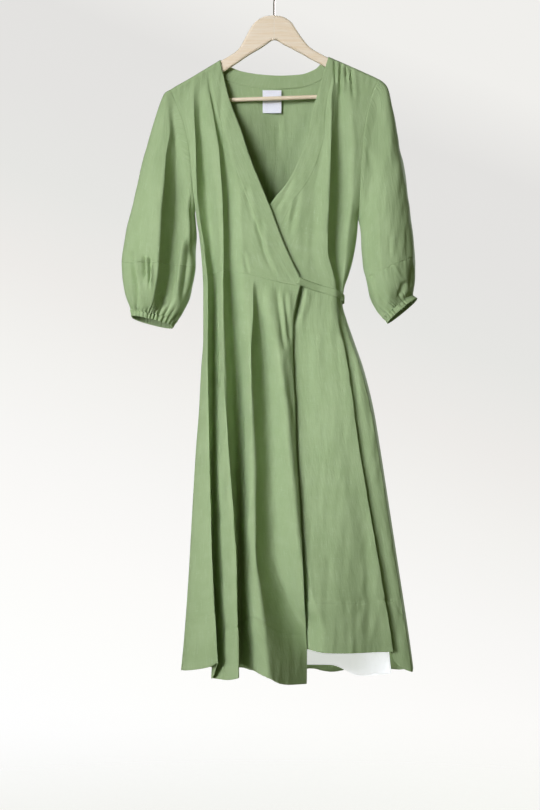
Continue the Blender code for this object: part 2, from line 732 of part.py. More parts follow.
def sleeve_across(table, at, arm):
    """Where a sleeve's lines cross it: spread like the armhole's rows, then caught on the fold."""
    ridge = float(table.at("ridge", at))
    valley = float(table.at("valley", at))
    front = list(EDGE_PARTS)
    front += [ridge * part for part in RIDGE_PARTS]
    front += [ridge + (valley - ridge) * part for part in VALLEY_PARTS]
    front += [valley + (1.0 - valley) * part for part in INNER_PARTS]
    spread = ease(at / ARM_SPREAD)
    return arm + (np.array(front) - arm) * spread, arm + (np.array(REAR_PARTS) - arm) * spread


def sleeve_ring(table, at, arm_ring):
    """One ring of a sleeve; near the armhole it keeps the armhole's own shape."""
    rows = len(SLEEVE_ROWS)
    tip = arm_ring[0, 2]
    arm = (arm_ring[:rows, 2] - tip) / (arm_ring[rows - 1, 2] - tip)
    front, rear = sleeve_across(table, at, arm)

    def ring(where, front_across, rear_across):
        near = sleeve_point(table, where, front_across, -1)
        far = sleeve_point(table, where, rear_across, 1)
        return np.concatenate((near, far[rows - 2:0:-1]))

    keep = 1.0 - ease(at / ARM_SHAPE)
    return ring(at, front, rear) + (arm_ring - ring(0.0, arm, arm)) * keep


def build_sleeves(panels):
    """Each sleeve: its upper part, the gathered panel under it and the elastic cuff."""
    sides = {"right": (panels["front_right"], 0), "left": (panels["front_left"], -1)}
    for side, (front, edge) in sides.items():
        table = SLEEVES[side]
        arm = armhole_ring(front, panels["back"], edge)
        for name, stations in SLEEVE_PIECES:
            grid = np.stack([sleeve_ring(table, at, arm) for at in stations])
            first = ARMHOLE_GAP if name == "sleeve_" else HALF_GAP
            last = 0.0 if name == "cuff_" else HALF_GAP
            sheet(name + side, shorten(grid, (first, last, 0.0, 0.0)), linen(), FORWARD, closed=True)


# ---------------------------------------------------------------- skirt, lining, tie and label
LINING_ROWS = (0.0, 0.025, 0.07, 0.2, 0.4, 0.65, 1.0)
BACK_COLUMNS = 23
SKIRT_ROWS = (0.0, 0.03, 0.09, 0.17, 0.29, 0.43, 0.58, 0.73, 0.87, 1.0)


HIDDEN_PARTS = (0.0, 0.4, 0.75, 0.9, 1.0)   # inner front, from its hidden edge to the wrapped edge
SHOWN_PARTS = (0.2, 0.6)                    # and from there to its fold


def wrap_skirt_lines():
    side, princess, wrap = FRONT_FOLDS["side"], FRONT_FOLDS["princess"], FRONT_FOLDS["wrap"]
    edge = column(WRAP_EDGE, "x")
    first = fold_lines(side, LEFT, column(princess, "ridge"))
    second = fold_lines(princess, column(side, "valley"), column(wrap, "ridge"))
    third = fold_lines(wrap, column(princess, "valley"), edge)
    lines = left_turn()[:2] + [between(LEFT, first[0], 0.3)]
    return lines + first + second + third + [between(third[-1], edge, 0.5), edge]


def under_skirt_lines():
    edge = column(WRAP_EDGE, "x")
    hidden = column(HIDDEN_EDGE, "x")
    fold = fold_lines(UNDERLAP_FOLDS["bust"], edge, RIGHT)
    lines = [between(hidden, edge, part) for part in HIDDEN_PARTS]
    lines += [between(edge, fold[0], part) for part in SHOWN_PARTS] + fold
    return lines + [between(fold[-1], RIGHT, 0.5)] + right_turn()[1:]


def back_skirt_lines():
    parts = np.linspace(0.0, 1.0, BACK_COLUMNS)[1:-1]
    return left_turn() + [between(LEFT, RIGHT, part) for part in parts] + right_turn()


def build_skirt():
    front_waist = column(WAIST, "drop")
    back_waist = column(BACK_WAIST, "drop")
    pieces = (
        ("front_right", wrap_front, wrap_skirt_lines(), front_waist, column(HEM, "drop"), FORWARD),
        ("front_left", under_front, under_skirt_lines(), front_waist, column(UNDERLAP_HEM, "drop"), FORWARD),
        ("back", back, back_skirt_lines(), back_waist, column(BACK_HEM, "drop"), REARWARD),
    )
    for part, surface, lines, waist, hem, outward in pieces:
        grid = panel_grid(surface, lines, waist, hem, SKIRT_ROWS)
        cut = shorten(grid, (WAIST_GAP, 0.0, HALF_GAP, HALF_GAP))
        sheet("skirt_" + part, cut, linen(), outward)


def lining_point(x, drop):
    """Point of the lining, which hangs plain behind the folds of the back skirt."""
    under = drop - BACK_WAIST.at("drop", x)
    inward = WALL + LAY_GAP + LINING_CLEAR * ease(under / LINING_TURN)
    inward += LINING_SAG * ease(under / LINING_REACH)
    out = cap(plain_body("back", x, drop), x, drop) - inward
    return np.stack((x, out, -drop), axis=-1)


def build_lining():
    """White lining behind the wearer, seen under the inner front's hem."""
    lines = back_skirt_lines()[4:-4:2]

    def hem(x):
        return BACK_HEM.at("drop", x) - LINING_HEM_RISE

    grid = panel_grid(lining_point, lines, column(BACK_WAIST, "drop"), hem, LINING_ROWS)
    sheet("skirt_lining", shorten(grid, (HALF_GAP, 0.0, 0.0, 0.0)), cotton(), REARWARD)


def label_point(x, drop):
    return back(x, drop, WALL + LAY_GAP)


def build_label():
    wide, tall = LABEL_SIZE
    xs = LABEL_CENTRE + np.linspace(-0.5, 0.5, LABEL_STEPS) * wide
    drops = LABEL_TOP + np.linspace(0.0, 1.0, LABEL_STEPS) * tall
    grid = np.stack([label_point(xs, np.full_like(xs, drop)) for drop in drops])
    sheet("neck_label", grid, cotton(), REARWARD, thick=LABEL_THICK)


def path_frames(points, lift):
    """Place, across and out direction along a path whose outward directions are given."""
    frames = []
    for index, place in enumerate(points):
        before = points[max(index - 1, 0)]
        after = points[min(index + 1, len(points) - 1)]
        run = (after - before) / np.linalg.norm(after - before)
        out = lift[index] - run * np.dot(lift[index], run)
        out = out / np.linalg.norm(out)
        frames.append((place, np.cross(out, run), out))
    return frames


def outward_at(surface, x, drop, face):
    """Unit direction away from the body at a point of a surface."""
    step = 1.0
    x = np.array([x, x + step, x])
    drop = np.array([drop, drop, drop + step])
    here, right, below = surface(x, drop)
    normal = np.cross(right - here, below - here)
    normal = normal / np.linalg.norm(normal)
    return normal if normal[1] * face > 0 else -normal


def surface_path(surface, xs, drops, face, lift=TIE_LIFT):
    """Points just clear of a surface and their outward directions, along a run of places."""
    points = []
    lifts = []
    for x, drop in zip(xs, drops):
        out = outward_at(surface, x, drop, face)
        points.append(surface(np.array([x]), np.array([drop]))[0] + out * lift)
        lifts.append(out)
    return points, lifts


def build_tie():
    """Narrow tie from the wrapped front's corner, round the wearer's left side to its knot behind."""
    drops = [float(TIE_PATH.at("drop", x)) for x in TIE_FRONT_X]
    points, lifts = surface_path(under_front, TIE_FRONT_X, drops, -1)
    points[0] = wrap_front(np.array([TIE_FRONT_X[0]]), np.array([drops[0]]))[0]
    side = float(BODY.at("right", TIE_SIDE_DROP))
    points.append(np.array((side + TIE_LIFT, 0.0, -TIE_SIDE_DROP)))
    lifts.append(np.array((1.0, 0.0, 0.0)))
    back_drops = [TIE_SIDE_DROP - TIE_RISE * (side - x) for x in TIE_BACK_X]
    behind, behind_lifts = surface_path(back, TIE_BACK_X, back_drops, 1)
    strip_of(path_frames(points + behind, lifts + behind_lifts), TIE_WIDTH, TIE_THICK, "waist_tie", linen())
    # The second tie comes out of the other side seam and crosses the back to the same knot.
    first = float(BODY.at("left", TIE_SLIT_DROP)) + TIE_SLIT_IN
    steps = np.linspace(0.0, 1.0, TIE_BACK_STEPS)
    xs = first + (KNOT_X - KNOT_SIZE[0] / 2.0 - LAY_GAP - first) * steps
    drops = TIE_SLIT_DROP + (back_drops[-1] - TIE_SLIT_DROP) * steps
    across, across_lifts = surface_path(back, xs, drops, 1)
    strip_of(path_frames(across, across_lifts), TIE_WIDTH, TIE_THICK, "waist_tie_back", linen())
    build_knot(back_drops[-1])


def build_knot(drop):
    """Flat knot with two hanging tails."""
    out = outward_at(back, KNOT_X, drop, 1)
    seat = back(np.array([KNOT_X]), np.array([drop]))[0] + out * (LAY_GAP + KNOT_SIZE[1] / 2.0)
    knot = bmesh.new()
    bmesh.ops.create_uvsphere(knot, u_segments=16, v_segments=10, radius=0.5)
    for corner in knot.verts:
        corner.co = (corner.co.x * KNOT_SIZE[0], corner.co.y * KNOT_SIZE[1], corner.co.z * KNOT_SIZE[2])
    bmesh.ops.translate(knot, vec=seat, verts=knot.verts)
    finish("tie_knot", knot, linen())
    for name, start, lean, length in TAILS:
        steps = np.linspace(0.0, 1.0, TAIL_STEPS)
        drops = drop + KNOT_SIZE[2] / 2.0 + LAY_GAP + length * steps
        xs = KNOT_X + start + lean * steps
        points, lifts = surface_path(back, xs, drops, 1, TAIL_LIFT)
        strip_of(path_frames(points, lifts), TIE_WIDTH, TIE_THICK, name, linen())


# ---------------------------------------------------------------- hanger
def outline_piece(name, outline):
    """A flat piece of wood cut to an outline and rounded along its edges."""
    build = bmesh.new()
    near = [build.verts.new((x, -ARM_THICK / 2.0, -drop)) for x, drop in outline]
    far = [build.verts.new((x, ARM_THICK / 2.0, -drop)) for x, drop in outline]
    faces = [build.faces.new(near), build.faces.new(far[::-1])]
    for first in range(len(outline)):
        second = (first + 1) % len(outline)
        build.faces.new((near[first], far[first], far[second], near[second]))
    bmesh.ops.recalc_face_normals(build, faces=build.faces)
    edges = list({edge for face in faces for edge in face.edges})
    bmesh.ops.bevel(build, geom=edges, offset=ARM_BEVEL, segments=2, profile=0.5, affect="EDGES",
                    clamp_overlap=True)
    return finish(name, build, wood())


def arm_outline(sign):
    """Outline of one arm, out along its top and back along its underside."""
    xs = [sign * HALF_GAP] + [float(x) for x in np.linspace(ARM_START, ARM_END, ARM_POINTS) * sign]
    top = [(x, float(HANGER.at("top", x))) for x in xs]
    foot = float(bar_drop(sign * BAR_SEAT)) + BAR_RADIUS + FOOT_UNDER
    under = []
    for x in reversed(xs):
        bottom = float(HANGER.at("bottom", x))
        if BAR_SEAT < abs(x) < FOOT_END:
            bottom = foot
        under.append((x, bottom))
    return top + under


def bar_drop(x):
    """Drop of the bar's centre line, a little lower at the left end."""
    return BAR_DROP - BAR_SLOPE * x


def build_hanger():
    """Two wooden arms that meet under the hook, a round bar between them and the wire hook."""
    for name, sign in (("hanger_arm_left", -1), ("hanger_arm_right", 1)):
        outline_piece(name, arm_outline(sign))
    # The bar's ends stop just short of the arms' feet.
    reach = BAR_SEAT - BAR_END_GAP
    bar = bmesh.new()
    bmesh.ops.create_cone(bar, cap_ends=True, segments=20, radius1=BAR_RADIUS, radius2=BAR_RADIUS,
                          depth=2.0 * reach)
    turn = Matrix.Rotation(math.pi / 2.0 - math.atan(BAR_SLOPE), 4, "Y")
    bmesh.ops.transform(bar, matrix=Matrix.Translation((0.0, 0.0, -BAR_DROP)) @ turn, verts=bar.verts)
    finish("hanger_bar", bar, wood())
    build_hook()


def build_hook():
    """Wire from the top of the arms, bent into a loop whose inner top is the origin."""
    centre = -(HOOK_RADIUS - WIRE_RADIUS)
    points = [Vector((x, 0.0, z)) for x, z in HOOK_STEM]
    for step in range(HOOK_STEPS + 1):
        angle = math.radians(HOOK_START + (HOOK_END - HOOK_START) * step / HOOK_STEPS)
        points.append(Vector((HOOK_RADIUS * math.cos(angle), 0.0, centre + HOOK_RADIUS * math.sin(angle))))
    curve = bpy.data.curves.new("hanger_hook", "CURVE")
    curve.dimensions = "3D"
    curve.bevel_depth = WIRE_RADIUS * MM
    curve.bevel_resolution = 3
    curve.use_fill_caps = True
    spline = curve.splines.new("POLY")
    spline.points.add(len(points) - 1)
    for made, point in zip(spline.points, points):
        made.co = (*(point * MM), 1.0)
    curve.materials.append(steel())
    bpy.context.collection.objects.link(bpy.data.objects.new("hanger_hook", curve))


def build():
    for existing in list(bpy.data.objects):
        bpy.data.objects.remove(existing, do_unlink=True)
    panels = build_bodice()
    build_neck_band()
    build_sleeves(panels)
    build_skirt()
    build_lining()
    build_label()
    build_tie()
    build_hanger()


build()
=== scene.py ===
"""Wrap dress on a wooden hanger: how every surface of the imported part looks.

Sizes are millimetres unless a name says otherwise. "drop" is the distance below the frame's
origin, which is the inner top of the hanger's hook. "out" is the distance from the hanger's
plane, forwards on a front and backwards on a back. The dress faces -Y.
"""
import logging
import math
from collections.abc import Callable, Sequence
from dataclasses import dataclass, field
from enum import Enum
from functools import cache

import bpy
import numpy as np
from bpy.types import Material, Node, NodeSocket, NodeTree, Object
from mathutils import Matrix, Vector


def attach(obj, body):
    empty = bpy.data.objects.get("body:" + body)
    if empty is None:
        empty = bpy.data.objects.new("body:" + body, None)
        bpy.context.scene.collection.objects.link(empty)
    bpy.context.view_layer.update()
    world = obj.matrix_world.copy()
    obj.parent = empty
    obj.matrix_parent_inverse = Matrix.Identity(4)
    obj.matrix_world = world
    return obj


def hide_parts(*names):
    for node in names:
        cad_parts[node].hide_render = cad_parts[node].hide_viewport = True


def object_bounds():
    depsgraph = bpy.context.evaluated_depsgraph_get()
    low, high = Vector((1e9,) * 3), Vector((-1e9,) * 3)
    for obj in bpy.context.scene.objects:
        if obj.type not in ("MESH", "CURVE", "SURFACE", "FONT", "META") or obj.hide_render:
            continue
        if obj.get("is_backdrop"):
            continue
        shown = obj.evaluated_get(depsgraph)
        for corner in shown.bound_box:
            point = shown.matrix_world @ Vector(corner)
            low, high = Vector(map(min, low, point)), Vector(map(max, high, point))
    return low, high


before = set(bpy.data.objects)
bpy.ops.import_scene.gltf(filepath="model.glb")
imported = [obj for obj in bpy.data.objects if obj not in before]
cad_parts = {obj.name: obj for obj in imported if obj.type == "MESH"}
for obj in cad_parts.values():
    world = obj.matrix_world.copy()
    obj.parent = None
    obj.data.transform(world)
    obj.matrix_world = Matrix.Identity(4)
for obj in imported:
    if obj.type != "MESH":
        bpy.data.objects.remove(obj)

logging.basicConfig(level=logging.INFO, format="%(message)s")
log = logging.getLogger("wrap_dress")

MM = 0.001
Array = np.ndarray
Line = Callable[[Array], Array]
Surface = Callable[[Array, Array], Array]
Pair = tuple[float, float]
Triple = tuple[float, float, float]
Floats = tuple[float, ...]
Pieces = dict[str, Object]

SPACING = 3.0         # between neighbouring points of the cloth
SKIRT_SPACING = 3.7   # the same on the skirt's fronts
PLAIN_SPACING = 4.8   # the same on the skirt's back and the lining
# A skirt panel's rough top and bottom, and at how many drops between them its width is measured.
SKIRT_SPAN = (600.0, 1330.0, 25)
LINEN_THICK = 0.8
BAND_THICK = 1.3      # the neck band is two layers
COTTON_THICK = 0.5
SEWN = 0.4            # how far a sewn edge is drawn in, so that two rolled edges just meet
FINE_SEAM = 0.1       # the same where the seam hardly shows
EDGE_LINE = 0.8       # how far inside a side seam the first line of points lies
INNER_LINE = 4.0      # the same for the second
ROUND_POWER = 2.4     # 2 would give the body an oval cut, and more makes it fuller at the sides
MEETING_ROUNDS = 12   # how often the drop at which a column meets an edge is worked out again


# ---- small tools
def ease(value: Array | float) -> Array:
    """0 below 0, 1 above 1, level at both."""
    value = np.clip(value, 0.0, 1.0)
    return value * value * (3.0 - 2.0 * value)


def lengths(arrows: Array) -> Array:
    """How long each vector is."""
    return np.linalg.norm(arrows, axis=-1)


def unit(arrows: Array) -> Array:
    """The same directions, each with a length of 1."""
    return arrows / np.maximum(np.linalg.norm(arrows, axis=-1, keepdims=True), 1e-9)


def rounded(across: Array) -> Array:
    """How round the body is across, between 1 in its middle and 0 at its sides, -1 and +1."""
    return (1.0 - np.abs(across) ** ROUND_POWER) ** (1.0 / ROUND_POWER)


def monotone(keys: Array, values: Array, where: Array) -> Array:
    """Monotone cubic curve through the values, held level past both ends.

    Args:
        keys: rising places.
        values: the curve's value at each.
        where: the places wanted.

    Returns:
        The curve's value at each place wanted.
    """
    step = np.diff(keys)
    slope = np.diff(values) / step
    tangent = np.zeros_like(values)
    same_way = slope[:-1] * slope[1:] > 0
    tangent[1:-1][same_way] = (2 * slope[:-1] * slope[1:])[same_way] / (slope[:-1] + slope[1:])[same_way]
    tangent[0] = slope[0]
    tangent[-1] = slope[-1]
    where = np.clip(where, keys[0], keys[-1])
    low = np.clip(np.searchsorted(keys, where, side="right") - 1, 0, len(keys) - 2)
    part = (where - keys[low]) / step[low]
    square = part * part
    cube = square * part
    return (values[low] * (2 * cube - 3 * square + 1) + values[low + 1] * (3 * square - 2 * cube)
            + step[low] * (tangent[low] * (cube - 2 * square + part) + tangent[low + 1] * (cube - square)))


class Table:
    """A short table of sizes with named columns, read smoothly between its rows."""

    def __init__(self, columns: str, rows: Sequence[Sequence[float]]) -> None:
        """Keeps the columns' names and the rows."""
        self.columns = columns.split()
        self.values = np.array(rows, dtype=float)

    def at(self, name: str, where: Array | float) -> Array:
        """The column's value where the first column has the value given."""
        column = self.values[:, self.columns.index(name)]
        return monotone(self.values[:, 0], column, np.asarray(where, dtype=float))

    def all_at(self, where: Array | float) -> list[Array]:
        """Every column but the first, in order, there."""
        return [self.at(name, where) for name in self.columns[1:]]

    def line(self, name: str) -> Line:
        """The column as a function of the first one."""
        return lambda where: self.at(name, where)


def uneven(across: Array, down: Array, size: Pair, seed: int) -> Array:
    """A smooth field with no pattern to it.

    Args:
        across: places one way.
        down: places the other way.
        size: how far apart its swells are, each way.
        seed: picks one such field.

    Returns:
        Values mostly between -1 and 1.
    """
    lattice = np.random.default_rng(seed).uniform(-1.0, 1.0, (97, 89))
    u = across / size[0] + 31.7
    v = down / size[1] + 17.3
    column = np.floor(u).astype(int)
    row = np.floor(v).astype(int)
    s = ease(u - column)
    t = ease(v - row)
    corner = lattice[row % 97, column % 89] * (1 - s) + lattice[row % 97, (column + 1) % 89] * s
    below = lattice[(row + 1) % 97, column % 89] * (1 - s) + lattice[(row + 1) % 97, (column + 1) % 89] * s
    return corner * (1 - t) + below * t


CREASES = "x0 drop0 x1 drop1 x2 drop2 height width"


def creased(table: Table | None, x: Array, drop: Array) -> Array:
    """Height of a panel's creases above its plain form.

    Args:
        table: one crease a row: its start, bend and end, its height (a trough's is negative)
            and its half-width.
        x: places across.
        drop: places down.

    Returns:
        The height at each place, with a fainter opposite swell along one side of each crease.
    """
    lift = np.zeros_like(x)
    if table is None:
        return lift
    steps = np.linspace(0.0, 1.0, 9)
    for x0, drop0, x1, drop1, x2, drop2, height, width in table.values:
        start = np.array((x0, drop0))
        end = np.array((x2, drop2))
        pull = 2.0 * np.array((x1, drop1)) - 0.5 * (start + end)
        path = [(1 - t) ** 2 * start + 2 * t * (1 - t) * pull + t * t * end for t in steps]
        reach = 4.0 * width
        low = np.min(path, axis=0) - reach
        high = np.max(path, axis=0) + reach
        near = (x > low[0]) & (x < high[0]) & (drop > low[1]) & (drop < high[1])
        if not near.any():
            continue
        px = x[near]
        pd = drop[near]
        best = np.full(px.shape, np.inf)
        side = np.zeros_like(px)
        along = np.zeros_like(px)
        for number, (first, second) in enumerate(zip(path, path[1:])):
            run = second - first
            length = float(run @ run) + 1e-9
            part = np.clip(((px - first[0]) * run[0] + (pd - first[1]) * run[1]) / length, 0.0, 1.0)
            dx = px - first[0] - part * run[0]
            dd = pd - first[1] - part * run[1]
            away = np.hypot(dx, dd)
            closer = away < best
            best = np.where(closer, away, best)
            side = np.where(closer, np.sign(dx * run[1] - dd * run[0]), side)
            along = np.where(closer, (number + part) / (len(path) - 1), along)
        fade = ease(along * 3.5) * ease((1.0 - along) * 3.5)
        main = np.exp(-(best / width) ** 2)
        beside = np.exp(-((side * best - 1.9 * width) / (1.2 * width)) ** 2)
        lift[near] += height * fade * (main - 0.4 * beside)
    return lift


# ---- how the dress hangs
FOLD_COLUMNS = "drop ridge valley proud sink lead tail under"


@dataclass(frozen=True)
class Folds:
    """The main folds: each a rounded ridge whose right flank turns in to a valley behind it.

    proud and sink are the ridge above and the valley below the plain body, lead and tail how
    wide they fade, and under is how far the valley slides back beneath its ridge.
    """

    side: Table = Table(FOLD_COLUMNS, (
        (185, -143, -139, 0, 0, 18, 14, 0), (247, -154, -143, 3, 5, 22, 16, 0),
        (344, -150, -137, 6, 15, 12, 18, 0), (440, -147, -129, 7, 21, 10, 20, 0),
        (537, -135, -121, 8, 21, 9, 20, 0), (610, -127, -114, 8, 25, 11, 18, 1),
        (730, -127, -112, 9, 34, 13, 22, 3), (923, -123, -109, 10, 30, 24, 22, 7),
        (1116, -117, -105, 12, 34, 38, 24, 12), (1309, -106, -96, 14, 42, 58, 30, 22),
        (1400, -100, -92, 14, 43, 66, 32, 30),
    ))
    princess: Table = Table(FOLD_COLUMNS, (
        (185, -134, -130, 0, 0, 6, 6, 0), (300, -113, -108, 2, 6, 14, 6, 0),
        (344, -106, -97, 4, 12, 18, 12, 0), (440, -99, -87, 6, 17, 20, 24, 0),
        (537, -96, -85, 7, 16, 20, 26, 0), (610, -97, -82, 7, 26, 18, 26, 1),
        (730, -96, -72, 9, 42, 18, 28, 3), (923, -86, -58, 12, 48, 24, 28, 8),
        (1116, -71, -49, 15, 43, 30, 22, 14), (1309, -67, -36, 18, 46, 32, 26, 26),
        (1400, -66, -28, 18, 48, 34, 28, 34),
    ))
    wrap: Table = Table(FOLD_COLUMNS, (
        (600, -40, -34, 0, 0, 20, 20, 0), (655, -40, -28, 4, 14, 22, 22, 1),
        (730, -44, -20, 8, 30, 22, 30, 2), (923, -42, -6, 11, 42, 22, 42, 6),
        (1116, -42, 10, 13, 44, 14, 44, 14), (1212, -32, 30, 14, 46, 20, 40, 3),
        (1260, -25, 56, 15, 46, 22, 60, 1), (1309, -15, 96, 15, 52, 26, 80, 0),
        (1400, -5, 112, 15, 58, 28, 80, 0),
    ))
    bust: Table = Table(FOLD_COLUMNS, (
        (165, 128, 132, 0, 0, 4, 10, 0), (190, 119, 126, 1, 1, 4, 14, 0),
        (222, 113, 124, 3, 4, 6, 20, 0), (247, 110, 124, 5, 7, 9, 26, 0),
        (300, 109, 125, 7, 12, 14, 28, 0), (344, 108, 126, 8, 20, 20, 30, 0),
        (440, 104, 125, 9, 23, 30, 28, 0), (537, 102, 118, 9, 22, 34, 22, 0),
        (610, 118, 127, 5, 6, 30, 10, 0), (672, 122, 130, 5, 5, 34, 12, 1),
        (730, 134, 140, 4, 4, 40, 14, 2), (923, 161, 166, 5, 4, 50, 20, 4),
        (1116, 193, 198, 5, 5, 60, 24, 6), (1309, 224, 230, 5, 6, 64, 28, 8),
        (1400, 232, 238, 5, 6, 66, 30, 8),
    ))
    # The back's folds; across runs from the left side, -1, to the right side, +1.
    rear: Table = Table("across depth width start", (
        (-0.8, 26, 0.085, 570), (-0.5, 40, 0.095, 480), (-0.17, 32, 0.08, 620),
        (0.13, 43, 0.1, 500), (0.46, 36, 0.085, 590), (0.77, 30, 0.09, 540),
    ))
    rear_reach: float = 760.0
    rear_top: float = 540.0
    rear_sink: float = 11.0


@dataclass(frozen=True)
class DressForm:
    """The hanging body of the dress, which every panel is cut from."""

    body: Table = Table("drop left right spare_left spare_right front back", (
        (165, -224, 214, 60, 60, 8, 8), (207, -210, 201, 58, 58, 11, 10),
        (230, -199, 191, 56, 56, 14, 12), (260, -186, 182, 54, 54, 20, 16),
        (300, -172, 174, 50, 50, 29, 22), (345, -163, 169, 40, 42, 37, 27),
        (392, -159, 166, 24, 30, 43, 31), (436, -155, 164, 7, 14, 46, 34),
        (460, -152, 163, 0, 5, 47, 35), (478, -150, 162, 0, 0, 47, 36),
        (507, -145, 160, 0, 0, 47, 36), (556, -140, 152, 0, 0, 44, 36),
        (585, -138, 144, 0, 0, 42, 35), (612, -137, 135, 0, 0, 41, 35),
        (640, -137, 132, 0, 0, 43, 38), (672, -137, 140, 0, 0, 48, 43),
        (710, -137, 153, 0, 0, 54, 49), (768, -141, 173, 0, 0, 62, 57),
        (845, -145, 192, 0, 0, 72, 67), (923, -151, 205, 0, 0, 81, 76),
        (1040, -158, 223, 0, 0, 92, 87), (1164, -165, 242, 0, 0, 101, 96),
        (1289, -174, 261, 0, 0, 108, 103), (1350, -180, 269, 0, 0, 110, 106),
        (1400, -184, 274, 0, 0, 111, 107),
    ))
    shoulder: Table = Table("x drop", (
        (-235, 262), (-212, 238), (-201, 228), (-162, 205), (-129, 185), (-104, 170), (0, 108),
        (106, 164), (131, 175), (176, 195), (201, 207), (216, 220), (240, 245),
    ))
    waist: Table = Table("x drop", (
        (-150, 588), (-120, 583), (-95, 580), (-60, 584), (6, 600), (52, 609), (100, 619), (150, 632),
    ))
    back_waist: Table = Table("x drop", ((-150, 588), (-60, 596), (60, 614), (150, 632)))
    wrap_neck: Table = Table("drop edge seam", (
        (165, -106, -130), (190, -101, -127), (247, -87, -115), (305, -66, -97), (363, -47, -80),
        (421, -24, -60), (460, -8, -45), (517, 13, -25), (560, 32, -8), (594, 48, 6), (612, 51, 13),
    ))
    under_neck: Table = Table("drop edge seam", (
        (160, 107, 125), (190, 98, 114), (222, 89, 107), (247, 81, 102), (285, 72, 97),
        (315, 67, 96), (363, 50, 85), (403, 31, 68), (454, -7, 33), (517, -34, 5),
        (585, -58, -18), (612, -66, -25),
    ))
    back_neck: Table = Table("x edge seam", (
        (-129, 186, 187), (-104, 170, 203), (-83, 183, 211), (-62, 191, 217), (-24, 197, 222),
        (10, 199, 224), (50, 197, 222), (79, 187, 213), (106, 164, 194), (122, 171, 172),
    ))
    wrap_edge: Table = Table("drop x", (
        (570, 52), (606, 50), (633, 43), (672, 37), (701, 35), (788, 37), (846, 41), (903, 42),
        (980, 46), (1058, 50), (1193, 56), (1250, 60), (1309, 61), (1400, 60),
    ))
    hidden_edge: Table = Table("drop x", (
        (570, -52), (720, -58), (900, -72), (1100, -92), (1400, -112),
    ))
    hidden_back: Table = Table("drop out lead step", (
        (160, 3, 44, 3), (440, 4, 44, 4), (530, 5, 44, 5), (585, 8, 44, 8), (615, 9, 44, 9),
        (680, 12, 44, 14), (730, 18, 44, 21), (900, 31, 44, 23), (1019, 36, 38, 20), (1100, 40, 34, 14),
        (1212, 45, 22, 6), (1260, 53, 7, 5), (1309, 52, 8, 4), (1400, 54, 8, 4),
    ))
    # The outer front's free edge rolls back a little over this width.
    roll: Table = Table("drop wide deep", (
        (600, 22, 0), (640, 25, 2), (700, 28, 12), (740, 26, 15), (864, 20, 15), (942, 16, 14),
        (1019, 12, 10), (1096, 9, 5), (1170, 7, 0), (1400, 7, 0),
    ))
    hem: Table = Table("x drop", (
        (-190, 1347), (-120, 1326), (-106, 1318), (-97, 1354), (-80, 1352), (-67, 1344),
        (-36, 1327), (-14, 1340), (12, 1356), (30, 1360), (60, 1362),
    ))
    under_hem: Table = Table("x drop", (
        (-120, 1290), (60, 1298), (140, 1300), (226, 1299), (234, 1318), (250, 1334), (272, 1343),
    ))
    back_hem: Table = Table("x drop", (
        (-190, 1347), (-120, 1356), (-40, 1364), (60, 1366), (160, 1366), (240, 1356), (272, 1344),
    ))
    folds: Folds = Folds()
    cap_out: float = 9.4
    cap_drop: float = 7.2
    cap_fade: float = 70.0
    side_calm: float = 9.0
    hide_width: float = 44.0
    show_reach: float = 90.0
    flare: tuple[float, float, float, float, float] = (630.0, 140.0, 55.0, 60.0, 0.7)

    def cap(self, out: Array, x: Array, drop: Array) -> Array:
        """The body's out, drawn in to the hanger near the shoulder seam.

        Args:
            out: the body's own.
            x: places across.
            drop: places down.

        Returns:
            How far out the cloth lies there.
        """
        under = drop - self.shoulder.at("drop", x)
        turn = np.clip(under / self.cap_drop, 0.0, 1.0)
        rolled = self.cap_out * np.sqrt(np.clip(1.0 - (1.0 - turn) ** 2, 0.0, 1.0))
        leave = ease((under - self.cap_drop) / self.cap_fade)
        return rolled * (1.0 - leave) + out * leave

    def plain(self, side: str, x: Array, drop: Array) -> Array:
        """How far the plain body stands out at x, on its front or its back.

        Args:
            side: the column with the depth in the middle.
            x: places across.
            drop: places down.

        Returns:
            The distance out.
        """
        left = self.body.at("left", drop) - self.body.at("spare_left", drop)
        right = self.body.at("right", drop) + self.body.at("spare_right", drop)
        across = np.clip((2.0 * x - left - right) / (right - left), -1.0, 1.0)
        return self.body.at(side, drop) * rounded(across)

    def folded(self, tables: Sequence[Table], x: Array, drop: Array) -> tuple[Array, Array]:
        """What the folds add to out at x, and how far they slide the cloth sideways.

        Args:
            tables: the folds.
            x: places across.
            drop: places down.

        Returns:
            What they add, and the slide.
        """
        add = np.zeros_like(x)
        slide = np.zeros_like(x)
        for table in tables:
            ridge, valley, proud, sink, lead, tail, under = table.all_at(drop)
            rise = ease((x - ridge) / lead + 1.0)
            fall = ease((x - ridge) / (valley - ridge)) ** 0.6
            fade = 1.0 - ease((x - valley) / tail)
            add += np.where(x < ridge, proud * rise, proud - (proud + sink) * fall) * fade
            slide -= under * fall * fade
        return add, slide

    def inside(self, x: Array, drop: Array, reach: float) -> Array:
        """1 in the middle of a panel, falling to 0 at its side seams over a distance."""
        left, right = self.body.at("left", drop), self.body.at("right", drop)
        return ease((x - left) / reach) * ease((right - x) / reach)

    def wrap_front(self, x: Array, drop: Array) -> Array:
        """Point of the outer, wrapped front.

        Args:
            x: places across.
            drop: places down.

        Returns:
            The points.
        """
        folds = (self.folds.side, self.folds.princess, self.folds.wrap)
        add, slide = self.folded(folds, x, drop)
        wide = self.roll.at("wide", drop)
        turned = np.clip((x - self.wrap_edge.at("x", drop)) / wide + 1.0, 0.0, 1.0) ** 1.6
        add = add - self.roll.at("deep", drop) * turned
        out = self.cap(self.plain("front", x, drop) + add * self.inside(x, drop, self.side_calm), x, drop)
        return np.stack((x + slide, -out, -drop), axis=-1)

